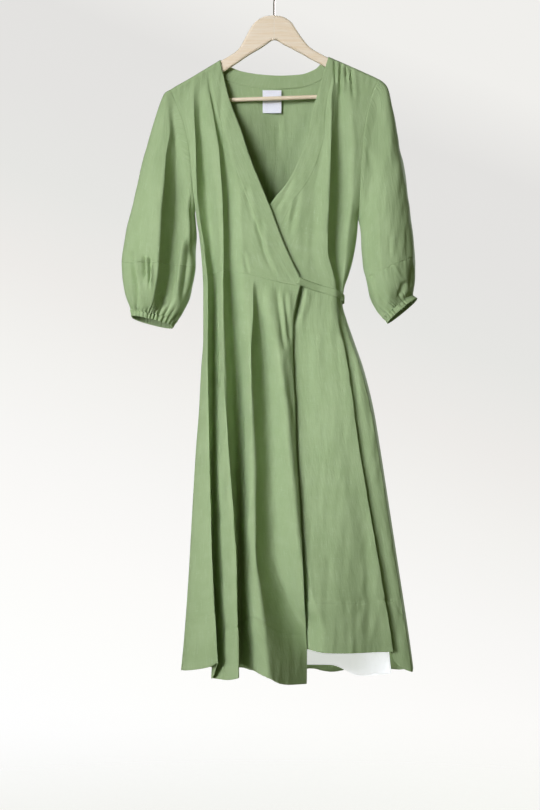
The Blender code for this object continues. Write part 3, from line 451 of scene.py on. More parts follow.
    def under_front(self, x: Array, drop: Array) -> Array:
        """Point of the inner front, which comes out from behind the wrapped one at its edge.

        Args:
            x: places across.
            drop: places down.

        Returns:
            The points.
        """
        add, slide = self.folded((self.folds.bust,), x, drop)
        edge = self.wrap_edge.at("x", drop)
        hidden = 1.0 - ease((x - edge + self.hidden_back.at("lead", drop)) / self.hide_width)
        behind = self.hidden_back.at("out", drop)
        shown = 1.0 - ease((x - edge) / self.show_reach)
        out = self.plain("front", x, drop) + add * self.inside(x, drop, self.side_calm)
        out = out - behind * hidden - self.hidden_back.at("step", drop) * shown
        # The skirt's flare at its last fold hangs flat, so it stays out until just before the side.
        start, grow, before, run, share = self.flare
        from_x = self.folds.bust.at("valley", drop) - before
        fallen = np.maximum(self.plain("front", from_x, drop) - self.plain("front", x, drop), 0.0)
        flat = share * ease((drop - start) / grow) * ease((x - from_x) / run)
        out = out + fallen * flat * ease((self.body.at("right", drop) - x) / self.side_calm)
        return np.stack((x + slide, -self.cap(out, x, drop), -drop), axis=-1)

    def back(self, x: Array, drop: Array, inward: float = 0.0) -> Array:
        """Point of the back, or of a layer that lies a little inside it.

        Args:
            x: places across.
            drop: places down.
            inward: how far inside the back it lies.

        Returns:
            The points.
        """
        left = self.body.at("left", drop)
        right = self.body.at("right", drop)
        across = (2.0 * x - left - right) / (right - left)
        add = np.zeros_like(x)
        for place, depth, width, start in self.folds.rear.values:
            grown = ease((drop - start) / self.folds.rear_reach)
            add += grown * depth * np.exp(-((across - place) / width) ** 2)
        add -= self.folds.rear_sink * ease((drop - self.folds.rear_top) / self.folds.rear_reach)
        out = self.plain("back", x, drop) + add * self.inside(x, drop, self.side_calm)
        return np.stack((x, self.cap(out, x, drop) - inward, -drop), axis=-1)

    def back_top(self, x: Array) -> Array:
        """Top of the back bodice: the shoulder seams, and the neck band's seam between them."""
        first, last = self.back_neck.values[[0, -1], 0]
        return np.where((x > first) & (x < last), self.back_neck.at("seam", x), self.shoulder.at("drop", x))


FORM = DressForm()
LEFT = FORM.body.line("left")
RIGHT = FORM.body.line("right")
FORWARD = (0.0, -1.0, 0.0)
REARWARD = (0.0, 1.0, 0.0)


def between(first: Line, second: Line, part: float) -> Line:
    """A line part of the way from one line to another."""
    return lambda drop: first(drop) * (1.0 - part) + second(drop) * part


def beside(line: Line, distance: float) -> Line:
    """A line at a distance from another."""
    return lambda drop: line(drop) + distance


def fold_lines(table: Table, before: Line, after: Line) -> list[Line]:
    """Lines that catch one fold: its foot, ridge, flank and valley, kept between two others.

    Args:
        table: the fold.
        before: the line that it starts after.
        after: the line that it ends before.

    Returns:
        The lines, in order.
    """
    ridge = table.line("ridge")

    def valley(drop: Array) -> Array:
        """The fold's valley, or a place just before the next line where it lies beyond that."""
        return np.minimum(table.at("valley", drop), after(drop) - 4.0)

    def foot(drop: Array) -> Array:
        """Where the fold starts to rise."""
        return np.maximum(ridge(drop) - 0.45 * table.at("lead", drop), between(before, ridge, 0.5)(drop))

    def rest(drop: Array) -> Array:
        """Where the fold's valley has risen again."""
        return np.minimum(valley(drop) + 0.5 * table.at("tail", drop), between(valley, after, 0.5)(drop))

    return [foot, ridge, between(ridge, valley, 0.35), between(ridge, valley, 0.7), valley, rest]


def outer_lines(folds: Sequence[Table], edge: Line, part: float) -> list[Line]:
    """Feature lines of an outer front, from the side to its edge.

    Args:
        folds: its folds, from the side on.
        edge: the line that it ends on.
        part: how far from the side to the first fold's foot the third line lies.

    Returns:
        The lines, in order.
    """
    caught: list[Line] = []
    for number, table in enumerate(folds):
        before = folds[number - 1].line("valley") if number else LEFT
        after = folds[number + 1].line("ridge") if number + 1 < len(folds) else edge
        caught += fold_lines(table, before, after)
    lines = [LEFT, beside(LEFT, EDGE_LINE), between(LEFT, caught[0], part)] + caught
    return lines + [between(caught[-1], edge, 0.5), edge]


def back_lines(parts: Sequence[float]) -> list[Line]:
    """Feature lines of a back: two close to each side, and one at each part of the way across.

    Args:
        parts: shares of the way across.

    Returns:
        The lines, in order.
    """
    return [LEFT, beside(LEFT, EDGE_LINE), beside(LEFT, INNER_LINE)] + [
        between(LEFT, RIGHT, part) for part in parts] + [
        beside(RIGHT, -INNER_LINE), beside(RIGHT, -EDGE_LINE), RIGHT]


# ---- cloth as fine grids
def towards(edge: Array, inner: Array, gap: float) -> Array:
    """An edge moved by a gap towards the next line of points, but never half way."""
    line = inner - edge
    return edge + line * np.minimum(gap / np.maximum(lengths(line), 1e-6), 0.45)[..., None]


@dataclass
class Grid:
    """Points of a sheet of cloth, rows by columns, and where each lies on the flat cloth.

    A closed grid's last column joins its first, and its cloth has one column more.
    """

    points: Array
    cloth: Array
    closed: bool = False

    @property
    def x(self) -> Array:
        """Each point's place across."""
        return self.points[..., 0]

    @property
    def drop(self) -> Array:
        """Each point's drop."""
        return -self.points[..., 2]

    def reach(self) -> tuple[Array, Array]:
        """How far round a closed grid each column is, from 0 to 1, and how far down its column.

        Returns:
            The share round, and the distance down.
        """
        columns = self.points.shape[1]
        ring = self.points[len(self.points) // 2]
        step = lengths(np.roll(ring, -1, axis=0) - ring)
        around = (np.cumsum(step) - step) / step.sum()
        down = lengths(np.diff(self.points, axis=0))
        down = np.concatenate((np.zeros((1, columns)), np.cumsum(down, axis=0)))
        return np.broadcast_to(around, down.shape), down

    def normals(self) -> Array:
        """Unit directions at right angles to the cloth, across its rows and down its columns.

        Returns:
            A direction for each point.
        """
        if self.closed:
            across = np.roll(self.points, -1, axis=1) - np.roll(self.points, 1, axis=1)
        else:
            across = np.gradient(self.points, axis=1)
        return unit(np.cross(across, np.gradient(self.points, axis=0)))

    def facing(self, outward: Triple) -> "Grid":
        """The same grid, its columns in the order that turns its normals outwards.

        Args:
            outward: away from the body.

        Returns:
            The grid.
        """
        columns = self.points.shape[1]
        probe = slice(columns // 8, 3 * columns // 8) if self.closed else slice(None)
        if (self.normals()[:, probe] @ np.array(outward)).mean() > 0:
            return self
        return Grid(self.points[:, ::-1], self.cloth[:, ::-1], self.closed)

    def raised(self, height: Array) -> "Grid":
        """The same grid with each point moved out by a height."""
        return Grid(self.points + self.normals() * height[..., None], self.cloth, self.closed)

    def drawn_in(self, top: float, bottom: float, start: float, end: float) -> "Grid":
        """The same grid with its edges drawn in along its own lines.

        Args:
            top: how far the first row goes in.
            bottom: the same for the last row.
            start: for the first column.
            end: for the last column.

        Returns:
            The grid.
        """
        points = self.points.copy()
        points[0] = towards(self.points[0], self.points[1], top)
        points[-1] = towards(self.points[-1], self.points[-2], bottom)
        whole = points.copy()
        points[:, 0] = towards(whole[:, 0], whole[:, 1], start)
        points[:, -1] = towards(whole[:, -1], whole[:, -2], end)
        return Grid(points, self.cloth, self.closed)


def measured(points: Array, closed: bool = False) -> Array:
    """Where each point lies on the flat cloth, worked out along the middle row and each column.

    Args:
        points: the grid's points.
        closed: whether its last column joins its first.

    Returns:
        Each point's place across and down the flat cloth.
    """
    middle = points[len(points) // 2]
    if closed:
        middle = np.concatenate((middle, middle[:1]))
    across = np.concatenate(((0.0,), np.cumsum(lengths(np.diff(middle, axis=0)))))
    down = lengths(np.diff(points, axis=0)).mean(axis=1)
    down = np.concatenate(((0.0,), np.cumsum(down)))
    return np.stack(np.meshgrid(across, down), axis=-1)


def rim_of(rows: int, columns: int, closed: bool) -> list[tuple[Array, Array]]:
    """Rows and columns of the grid's open edges, in the order that its outer faces run.

    Args:
        rows: number of rows.
        columns: number of columns.
        closed: whether the last column joins the first.

    Returns:
        The rows and the columns of each edge, which ends where it starts.
    """
    if closed:
        around = np.arange(columns + 1)
        return [(np.zeros(columns + 1, int), around), (np.full(columns + 1, rows - 1), around[::-1])]
    line = [(0, c) for c in range(columns)] + [(r, columns - 1) for r in range(1, rows)]
    line += [(rows - 1, c) for c in range(columns - 2, -1, -1)] + [(r, 0) for r in range(rows - 2, -1, -1)]
    path = np.array(line)
    return [(path[:, 0], path[:, 1])]


def shell(name: str, grid: Grid, thick: float) -> Object:
    """A closed thin wall of cloth with rounded edges, its outer face on the grid.

    Args:
        name: the piece's name.
        grid: the outer face, its normals pointing out.
        thick: the cloth's thickness, which goes inwards.

    Returns:
        The new object, with its places on the flat cloth as its UV map, in metres.
    """
    rows, columns = grid.points.shape[:2]
    normals = grid.normals()
    inner = grid.points - normals * thick
    vertices = [grid.points.reshape(-1, 3), inner.reshape(-1, 3)]
    last = columns if grid.closed else columns - 1
    r, c = np.meshgrid(np.arange(rows - 1), np.arange(last), indexing="ij")
    corners = [(r, c), (r, c + 1), (r + 1, c + 1), (r + 1, c)]

    def number(row: Array, column: Array) -> Array:
        """A vertex's number on the outer face."""
        return row * columns + column % columns

    outer = np.stack([number(*corner).ravel() for corner in corners], axis=-1)
    place = np.stack([grid.cloth[corner].reshape(-1, 2) for corner in corners], axis=1)
    faces = [outer, outer[:, ::-1] + rows * columns]
    places = [place, place[:, ::-1]]
    made = 2 * rows * columns
    for edge_row, edge_column in rim_of(rows, columns, grid.closed):
        at_row = edge_row[:-1]
        at_column = edge_column[:-1] % columns
        inside_row = np.clip(at_row, 1, rows - 2)
        inside_column = at_column if grid.closed else np.clip(at_column, 1, columns - 2)
        edge = grid.points[at_row, at_column]
        away = unit(edge - grid.points[inside_row, inside_column])
        vertices.append((edge + inner[at_row, at_column]) / 2.0 + away * thick / 2.0)
        count = len(at_row)
        middle = made + np.arange(count)
        after = made + (np.arange(count) + 1) % count
        made += count
        near = number(at_row, at_column)
        further = number(edge_row[1:], edge_column[1:])
        here = grid.cloth[edge_row[:-1], edge_column[:-1]]
        there = grid.cloth[edge_row[1:], edge_column[1:]]
        faces.append(np.stack((further, near, middle, after), axis=-1))
        faces.append(np.stack((after, middle, near + rows * columns, further + rows * columns), axis=-1))
        places += [np.stack((there, here, here, there), axis=1)] * 2
    mesh = bpy.data.meshes.new(name)
    mesh.from_pydata((np.concatenate(vertices) * MM).tolist(), [], np.concatenate(faces).tolist())
    flat = mesh.uv_layers.new(name="cloth")
    flat.data.foreach_set("uv", (np.concatenate(places) * MM).astype(np.float32).ravel())
    mesh.shade_smooth()
    mesh.set_sharp_from_angle(angle=math.radians(60.0))
    mesh.update()
    piece = bpy.data.objects.new(name, mesh)
    bpy.context.collection.objects.link(piece)
    return piece


@dataclass
class Panel:
    """A cut piece of the dress, its columns spread along its feature lines between two limits."""

    surface: Surface
    lines: list[Line]
    top: Line
    bottom: Line
    top_guess: float = 200.0
    bottom_guess: float = 600.0
    marks: int = 9
    spacing: float = SPACING

    def columns(self) -> tuple[Array, Array]:
        """Which strip each column is in, and how far across it, by the strips' widest places.

        Returns:
            The strip's number and the share across it.
        """
        drops = np.linspace(self.top_guess, self.bottom_guess, self.marks)
        strip: list[Array] = []
        part: list[Array] = []
        for number, (before, after) in enumerate(zip(self.lines, self.lines[1:])):
            across = np.linspace(0.0, 1.0, 6)[:, None]
            x = before(drops) * (1.0 - across) + after(drops) * across
            run = self.surface(x, np.broadcast_to(drops, x.shape))
            arc = lengths(np.diff(run, axis=0)).sum(axis=0).max()
            count = max(1, math.ceil(arc / self.spacing))
            strip.append(np.full(count, number))
            part.append(np.arange(count) / count)
        strip.append(np.array([len(self.lines) - 2]))
        part.append(np.array([1.0]))
        return np.concatenate(strip), np.concatenate(part)

    def across(self, drop: Array, strip: Array, part: Array) -> Array:
        """x of every column at its drops.

        Args:
            drop: one column of drops for each column.
            strip: which strip each is in.
            part: how far across it.

        Returns:
            The places across.
        """
        x = np.empty_like(drop)
        for number in range(len(self.lines) - 1):
            own = strip == number
            if own.any():
                here = drop[:, own]
                t = part[own]
                x[:, own] = self.lines[number](here) * (1.0 - t) + self.lines[number + 1](here) * t
        return x

    def grid(self) -> Grid:
        """The panel as a fine grid.

        Returns:
            The grid.
        """
        strip, part = self.columns()

        def meeting(limit: Line, guess: float) -> Array:
            """Drop at which each column meets a limit.

            Args:
                limit: the panel's top or bottom.
                guess: the drop to start from.

            Returns:
                A drop for each column.
            """
            drop = np.full(len(strip), guess)
            for _ in range(MEETING_ROUNDS):
                drop = limit(self.across(drop[None, :], strip, part)[0])
            return drop

        high = meeting(self.top, self.top_guess)
        low = meeting(self.bottom, self.bottom_guess)
        count = math.ceil((low - high).max() / self.spacing) + 1
        drop = high + (low - high) * np.linspace(0.0, 1.0, count)[:, None]
        points = self.surface(self.across(drop, strip, part), drop)
        return Grid(points, measured(points))


def puckers(along: Array, away: Array, pitch: float, height: float, reach: float, seed: int) -> Array:
    """Small gathers that run out from a seam.

    Args:
        along: distance along the seam.
        away: distance from it.
        pitch: between one gather and the next.
        height: of the gathers at the seam.
        reach: distance over which they die out.
        seed: picks their unevenness.

    Returns:
        The height at each place.
    """
    wander = uneven(along, away * 0.4, (pitch * 2.3, pitch * 4.0), seed)
    strong = 0.55 + 0.6 * uneven(along, away, (pitch * 1.7, pitch * 9.0), seed + 1)
    length = reach * (1.0 + 0.7 * uneven(along, along, (pitch * 1.3, pitch), seed + 2))
    return height * strong * np.exp(-np.maximum(away, 0.0) / length) * np.cos(
        2.0 * math.pi * (along / pitch + 0.45 * wander))


def ring_gathers(around: Array, away: Array, count: int, height: float, reach: float, seed: int) -> Array:
    """Small gathers that run out from a seam that goes all the way round.

    Args:
        around: how far round the seam, from 0 to 1.
        away: distance from it.
        count: number of gathers.
        height: of the gathers at the seam.
        reach: distance over which they die out.
        seed: picks their unevenness.

    Returns:
        The height at each place.
    """
    turn = 2.0 * math.pi * around
    radius = count / (2.0 * math.pi)
    u = radius * np.cos(turn)
    v = radius * np.sin(turn)
    wander = uneven(u, v + 0.02 * away, (2.1, 2.3), seed)
    lean = uneven(u, v, (3.1, 2.7), seed + 3)
    strong = np.clip(0.5 + 0.9 * uneven(u + 0.02 * away, v, (1.7, 1.9), seed + 1), 0.0, 1.2)
    length = reach * (1.0 + 0.85 * uneven(u, v, (1.3, 1.6), seed + 2))
    phase = count * turn + 4.0 * wander + 0.09 * away * lean
    return height * strong * np.exp(-np.maximum(away, 0.0) / length) * (
        1.6 * np.abs(np.sin(0.5 * phase)) - 1.0)


# ---- finishes
def linear(code: str) -> tuple[float, float, float, float]:
    """A linear colour, with full alpha, from an sRGB hex code."""
    parts = [int(code[start:start + 2], 16) / 255.0 for start in (1, 3, 5)]
    return (*(part / 12.92 if part <= 0.04045 else ((part + 0.055) / 1.055) ** 2.4 for part in parts), 1.0)


def add_node(tree: NodeTree, kind: str, settings: dict[str | int, object] | None = None,
             links: dict[str | int, NodeSocket] | None = None) -> Node:
    """A new node with its settings and links.

    Args:
        tree: the node tree it goes in.
        kind: the shader node's type.
        settings: values for its input sockets, by name or number, or else for its properties.
        links: the output that feeds each of its inputs, by name or number.

    Returns:
        The new node.
    """
    node = tree.nodes.new("ShaderNode" + kind)
    for name, value in (settings or {}).items():
        if isinstance(name, int) or name in node.inputs:
            node.inputs[name].default_value = value
        else:
            setattr(node, name, value)
    for name, output in (links or {}).items():
        tree.links.new(output, node.inputs[name])
    return node


def new_material(name: str, settings: dict[str, object]) -> tuple[Material, Node]:
    """A material with only its Principled shader, its even values set on the shader's own sockets.

    Args:
        name: what it is made of.
        settings: its even values, by socket.

    Returns:
        The material and its shader.
    """
    made = bpy.data.materials.new(name)
    made.use_nodes = True
    shader = made.node_tree.nodes["Principled BSDF"]
    for key, value in settings.items():
        shader.inputs[key].default_value = value
    return made, shader


def drawn_noise(tree: NodeTree, place: NodeSocket, scale: Triple, settings: dict[str, float]) -> NodeSocket:
    """Noise drawn out along a thread or a grain.

    Args:
        tree: the material's node tree.
        place: where on the piece the noise is read.
        scale: how many swells there are to a metre, each way.
        settings: the noise's other values.

    Returns:
        The noise.
    """
    scaled = add_node(tree, "Mapping", {"Scale": scale}, {"Vector": place})
    noise = add_node(tree, "TexNoise", {"Scale": 1.0, **settings}, {"Vector": scaled.outputs["Vector"]})
    return noise.outputs["Fac"]


def tones(shader: Node, drift: NodeSocket, marks: NodeSocket, colours: tuple[str, str, str]) -> None:
    """Colours a shader in two tones that drift into each other, with small marks of a third.

    Args:
        shader: the material's shader.
        drift: where the second tone lies.
        marks: where the marks lie.
        colours: the two tones and the marks' colour.
    """
    first, second, third = (linear(code) for code in colours)
    tree = shader.id_data
    base = add_node(tree, "Mix", {"data_type": "RGBA", 6: first, 7: second}, {0: drift})
    final = add_node(tree, "Mix", {"data_type": "RGBA", 7: third}, {0: marks, 6: base.outputs[2]})
    tree.links.new(final.outputs[2], shader.inputs["Base Color"])


@dataclass(frozen=True)
class Linen:
    """Garment-washed plain-weave linen: matt, with uneven threads both ways and soft small creases."""

    name: str = "washed sage linen"
    colour: str = "#A1B587"
    slub: str = "#A9BC90"
    shade: str = "#99AE7F"
    thread: float = 1.5          # real threads are 0.7 mm apart, too fine to show, so drawn coarser
    slub_run: float = 30.0       # length of a thick place in a thread
    tone_size: float = 60.0
    crumple: Pair = (6.5, 34.0)
    weave_height: float = 0.10
    crumple_height: float = 2.2
    roughness: float = 0.86
    glow: float = 0.0            # painted light: a glow in the slub colour that makes the cloth look lit where it lies in shade

    def material(self) -> Material:
        """Threads, slubs, a faint drift of tone and small creases, all on the cloth's own map.

        Returns:
            The material.
        """
        # The emission is painted light: a glow that stands in for light the cloth does not get.
        made, shader = new_material(self.name, {
            "Roughness": self.roughness, "Sheen Weight": 0.12, "Sheen Roughness": 0.45,
            "Sheen Tint": linear("#E6EDDC"), "Specular IOR Level": 0.25,
            "Emission Color": linear(self.slub), "Emission Strength": self.glow,
        })
        tree = made.node_tree
        cloth = add_node(tree, "UVMap", {"uv_map": "cloth"}).outputs["UV"]

        def threads(across: float, down: float, detail: float) -> NodeSocket:
            """Noise drawn out along one thread, from its swells' sizes."""
            scale = (1.0 / (across * MM), 1.0 / (down * MM), 1.0)
            return drawn_noise(tree, cloth, scale, {"Detail": detail, "Roughness": 0.6})

        warp = threads(self.thread, self.slub_run, 2.0)
        weft = threads(self.slub_run, self.thread, 2.0)
        weave = add_node(tree, "Math", {"operation": "MULTIPLY_ADD", 1: 0.5}, {0: weft, 2: warp}).outputs[0]
        slubs = add_node(tree, "MapRange", {"From Min": 0.8, "From Max": 1.0}, {"Value": weave})
        tone = add_node(tree, "MapRange", {"From Min": 0.35, "From Max": 0.65},
                        {"Value": threads(self.tone_size, self.tone_size, 3.0)})
        tones(shader, tone.outputs[0], slubs.outputs[0], (self.shade, self.colour, self.slub))
        small = add_node(tree, "Bump", {"Strength": 0.5, "Distance": self.crumple_height * MM},
                         {"Height": threads(*self.crumple, 4.0)})
        woven = add_node(tree, "Bump", {"Strength": 0.6, "Distance": self.weave_height * MM},
                         {"Height": weave, "Normal": small.outputs["Normal"]})
        tree.links.new(woven.outputs["Normal"], shader.inputs["Normal"])
        return made


@dataclass(frozen=True)
class Maple:
    """Planed pale maple under satin varnish: fine straight grain, small darker flecks, a soft gloss."""

    name: str = "varnished pale maple"
    pale: str = "#F7E6CE"
    dark: str = "#F2DCBC"
    fleck: str = "#E2C8A0"
    grain: float = 4.0
    grain_run: float = 70.0
    pore: float = 0.8

    def material(self) -> Material:
        """Grain along the arm, with a little relief in the flecks.

        Returns:
            The material.
        """
        made, shader = new_material(self.name, {
            "Roughness": 0.42, "Coat Weight": 0.35, "Coat Roughness": 0.22, "Specular IOR Level": 0.45,
        })
        tree = made.node_tree
        place = add_node(tree, "TexCoord").outputs["Object"]

        def grain(along: float, across: float, detail: float) -> NodeSocket:
            """Noise drawn out along the wood, from its swells' sizes."""
            scale = (1.0 / (along * MM), 1.0 / (across * MM), 1.0 / (across * MM))
            return drawn_noise(tree, place, scale, {"Detail": detail, "Roughness": 0.55, "Distortion": 0.4})

        rings = add_node(tree, "MapRange", {"From Min": 0.38, "From Max": 0.66},
                         {"Value": grain(self.grain_run, self.grain, 3.0)})
        flecks = add_node(tree, "MapRange", {"From Min": 0.62, "From Max": 0.78},
                          {"Value": grain(self.grain_run / 3.0, self.pore, 1.0)})
        tones(shader, rings.outputs[0], flecks.outputs[0], (self.pale, self.dark, self.fleck))
        bump = add_node(tree, "Bump", {"Strength": 0.25, "Distance": 0.15 * MM, "invert": True},
                        {"Height": flecks.outputs[0]})
        tree.links.new(bump.outputs["Normal"], shader.inputs["Normal"])
        return made


@dataclass(frozen=True)
class Wire:
    """Drawn steel wire under bright nickel plating: a warm mirror with faint lengthwise marks."""

    name: str = "nickel-plated steel wire"
    colour: str = "#CDBFB6"

    def material(self) -> Material:
        """Bright metal with uneven roughness.

        Returns:
            The material.
        """
        made, shader = new_material(self.name, {"Metallic": 1.0, "Base Color": linear(self.colour)})
        tree = made.node_tree
        place = add_node(tree, "TexCoord").outputs["Object"]
        noise = add_node(tree, "TexNoise", {"Scale": 900.0, "Detail": 2.0}, {"Vector": place})
        rough = add_node(tree, "MapRange", {"To Min": 0.14, "To Max": 0.30}, {"Value": noise.outputs["Fac"]})
        tree.links.new(rough.outputs[0], shader.inputs["Roughness"])
        return made


Finish = Linen | Maple | Wire
LINEN = Linen()
MAPLE = Maple()
WIRE = Wire()
# The cotton's glow is painted light: the lining glows so that it looks lit where it hangs in the skirt's
# shade.
COTTON = Linen(name="white cotton lawn", colour="#F6F7FB", slub="#FBFBFE", shade="#EEEFF5", thread=1.0,
               slub_run=9.0, crumple=(9.0, 16.0), weave_height=0.05, crumple_height=0.5, roughness=0.8,
               glow=0.55)
SATIN = Linen(name="woven label satin", colour="#F4F5FB", slub="#FBFBFF", shade="#ECEDF6", thread=0.8,
              slub_run=5.0, crumple=(14.0, 20.0), weave_height=0.04, crumple_height=0.2, roughness=0.6)


@cache
def material_of(finish: Finish) -> Material:
    """The one material of a finish, made when it is first asked for."""
    return finish.material()


@dataclass(frozen=True)
class Cut:
    """The flat shape that a piece is cut to: metres, and its share of that rectangle."""

    width: float
    length: float
    share: float = 1.0
    rests_on: tuple[str, ...] = ()

    @property
    def area(self) -> float:
        """The cut's area in square metres."""
        return self.width * self.length * self.share


def stand_in(piece: Object, node: str, finish: Finish) -> None:
    """Gives a piece its finish and puts it in its CAD node's place.

    Args:
        piece: the finished piece.
        node: the CAD node that it stands for.
        finish: what it is made of.
    """
    piece.data.materials.clear()
    piece.data.materials.append(material_of(finish))
    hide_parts(node)
    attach(piece, "root")
    log.info("%s: %d faces", piece.name, len(piece.data.polygons))


def declare(piece: Object, node: str, finish: Finish) -> None:
    """Puts a sheet in its CAD node's place and gives it its finish."""
    stand_in(piece, node, finish)


def dress_linen(pieces: Pieces, node: str) -> None:
    """Dresses linen sheets, whose CAD nodes have the name given, with the piece's own name for {}."""
    for name, piece in pieces.items():
        declare(piece, node.format(name), LINEN)


# ---- the dress
class Side(Enum):
    """A side of the dress, as its wearer names it."""

    RIGHT = "right"
    LEFT = "left"


@dataclass(frozen=True)
class Rumple:
    """The small unevenness that hanging cloth has everywhere."""

    # Of the broad and the fine swells: the height, the size each way, and what is added to the seed.
    swells: tuple[tuple[float, Pair, int], ...] = ((0.75, (34.0, 95.0), 0), (0.72, (9.5, 36.0), 7))
    lean: float = 0.08

    def height(self, x: Array, drop: Array, seed: int) -> Array:
        """Height of the unevenness at each place."""
        across = x + self.lean * drop
        return sum(height * uneven(across, drop, size, seed + step) for height, size, step in self.swells)


RUMPLE = Rumple()
FRONT_SEED = 11
BACK_SEED = 23
SHOULDER_TOP = FORM.shoulder.line("drop")
WAIST = FORM.waist.line("drop")
BACK_WAIST = FORM.back_waist.line("drop")


@dataclass
class Bodice:
    """The bodice's three panels, sewn at the shoulders, sides and waist."""

    waist_reach: float = 14.0
    waist_share: float = 0.35    # the creases' share left at the seam
    side_reach: float = 12.0
    gathers: Triple = (13.0, 0.8, 26.0)      # pitch, height, reach
    gather_start: float = 6.0
    back_spacing: float = 4.2
    back_parts: Floats = (0.06, 0.13, 0.206, 0.222, 0.25, 0.30, 0.40, 0.50, 0.60, 0.70,
                          0.75, 0.775, 0.793, 0.87, 0.94)
    creases: dict[str, Table] = field(default_factory=lambda: {
        "front_right": Table(CREASES, (
            (-100, 212, -103, 280, -101, 350, -2.4, 6), (-41, 462, -20, 540, 6, 598, -2.4, 4),
            (-25, 475, -22, 515, -21, 552, -2, 4), (-60, 540, -55, 565, -48, 590, -2.6, 4),
            (-73, 510, -70, 550, -66, 590, -1.6, 5), (-125, 228, -128, 280, -131, 325, 1.2, 8),
            (-116, 266, -118, 350, -118, 440, 1, 9), (-131, 190, -122, 230, -117, 266, -1.2, 5),
            (-81, 382, -75, 440, -69, 498, 1, 7), (-54, 415, -48, 455, -40, 494, -2, 5),
        )),
        "front_left": Table(CREASES, (
            (117, 158, 117, 188, 119, 222, -4.8, 2.8), (130, 162, 128, 204, 127, 256, -5.4, 3),
            (137, 166, 139, 192, 141, 222, -3.8, 2.6), (145, 170, 149, 206, 153, 252, -4.8, 3),
            (123, 212, 119, 262, 116, 305, 1.2, 5), (162, 208, 152, 270, 147, 324, 1, 7),
            (41, 388, 18, 440, 0, 466, -2.2, 4.5), (37, 435, 31, 465, 24, 494, 1.6, 4),
            (50, 415, 38, 480, 27, 524, -1.8, 5), (85, 517, 70, 550, 50, 585, 0.8, 7),
            (137, 498, 134, 550, 127, 606, -1.2, 5), (150, 305, 147, 370, 143, 440, 1, 8),
            (89, 286, 82, 340, 73, 402, 0.9, 9), (100, 537, 106, 575, 116, 616, -1, 5),
        )),
        "back": Table(CREASES, (
            (-86, 226, -50, 345, 0, 500, -11, 44), (10, 276, 8, 310, 6, 350, 1.3, 5),
            (17, 363, 16, 400, 13, 440, -1, 5), (-15, 344, -19, 385, -23, 421, 0.9, 6),
            (50, 247, 42, 300, 31, 344, -1, 9), (-46, 257, -42, 295, -39, 324, 0.8, 8),
            (-128, 252, -120, 320, -112, 400, 1.3, 9), (134, 246, 128, 320, 118, 400, -1.3, 9),
            (-96, 536, -40, 558, 20, 566, 1, 8), (56, 552, 104, 574, 140, 604, -1.1, 7),
            (-134, 470, -104, 516, -60, 545, -1, 8), (70, 430, 96, 480, 128, 506, 1, 8),
        )),
    })
    cuts: dict[str, Cut] = field(default_factory=lambda: {
        "front_right": Cut(0.24, 0.43, 0.52, ("hanger_arm_left",)),
        "front_left": Cut(0.23, 0.47, 0.55, ("hanger_arm_right",)),
        "back": Cut(0.41, 0.47, 0.71, ("hanger_arm_left", "hanger_arm_right")),
    })
    pieces: Pieces = field(default_factory=dict)

    def under_lines(self) -> list[Line]:
        """Feature lines of the inner front, from the neck band's seam to the side.

        Returns:
            The lines, in order.
        """
        seam = FORM.under_neck.line("seam")
        fold = fold_lines(FORM.folds.bust, seam, RIGHT)
        return [seam, between(seam, fold[0], 0.5)] + fold + [
            between(fold[-1], RIGHT, 0.5), beside(RIGHT, -INNER_LINE), beside(RIGHT, -EDGE_LINE), RIGHT]

    def relief(self, part: str, x: Array, drop: Array) -> Array:
        """Height of a panel's creases and unevenness, which die out at its sides and shoulder.

        Args:
            part: the panel.
            x: places across.
            drop: places down.

        Returns:
            The height at each place.
        """
        waist = BACK_WAIST if part == "back" else WAIST
        seed = BACK_SEED if part == "back" else FRONT_SEED
        side = FORM.inside(x, drop, self.side_reach)
        under = drop - SHOULDER_TOP(x)
        low = self.waist_share + (1.0 - self.waist_share) * ease((waist(x) - drop) / self.waist_reach)
        calm = side * low * ease(under / self.side_reach)
        plain = creased(self.creases[part], x, drop) + RUMPLE.height(x, drop, seed)
        eased = puckers(x, under, *self.gathers, seed) * ease(under / self.gather_start) * side
        return plain * calm + eased

    def build(self) -> None:
        """Makes the three panels."""
        folds = (FORM.folds.side, FORM.folds.princess)
        wrap_lines = outer_lines(folds, FORM.wrap_neck.line("seam"), 0.45)
        plans = (
            ("front_right", Panel(FORM.wrap_front, wrap_lines, SHOULDER_TOP, WAIST), FORWARD,
             (FINE_SEAM, SEWN)),
            ("front_left", Panel(FORM.under_front, self.under_lines(), SHOULDER_TOP, WAIST), FORWARD,
             (SEWN, FINE_SEAM)),
            ("back", Panel(FORM.back, back_lines(self.back_parts), FORM.back_top, BACK_WAIST,
                           spacing=self.back_spacing), REARWARD, (SEWN, SEWN)),
        )
        for part, panel, outward, sewn in plans:
            grid = panel.grid().facing(outward)
            grid = grid.raised(self.relief(part, grid.x, grid.drop))
            grid = grid.drawn_in(SEWN, SEWN, *sewn)
            self.pieces[part] = shell("linen_bodice_" + part, grid, LINEN_THICK)

    def dress(self) -> None:
        """Gives the panels their linen and puts them in their solids' places."""
        dress_linen(self.pieces, "bodice_{}")


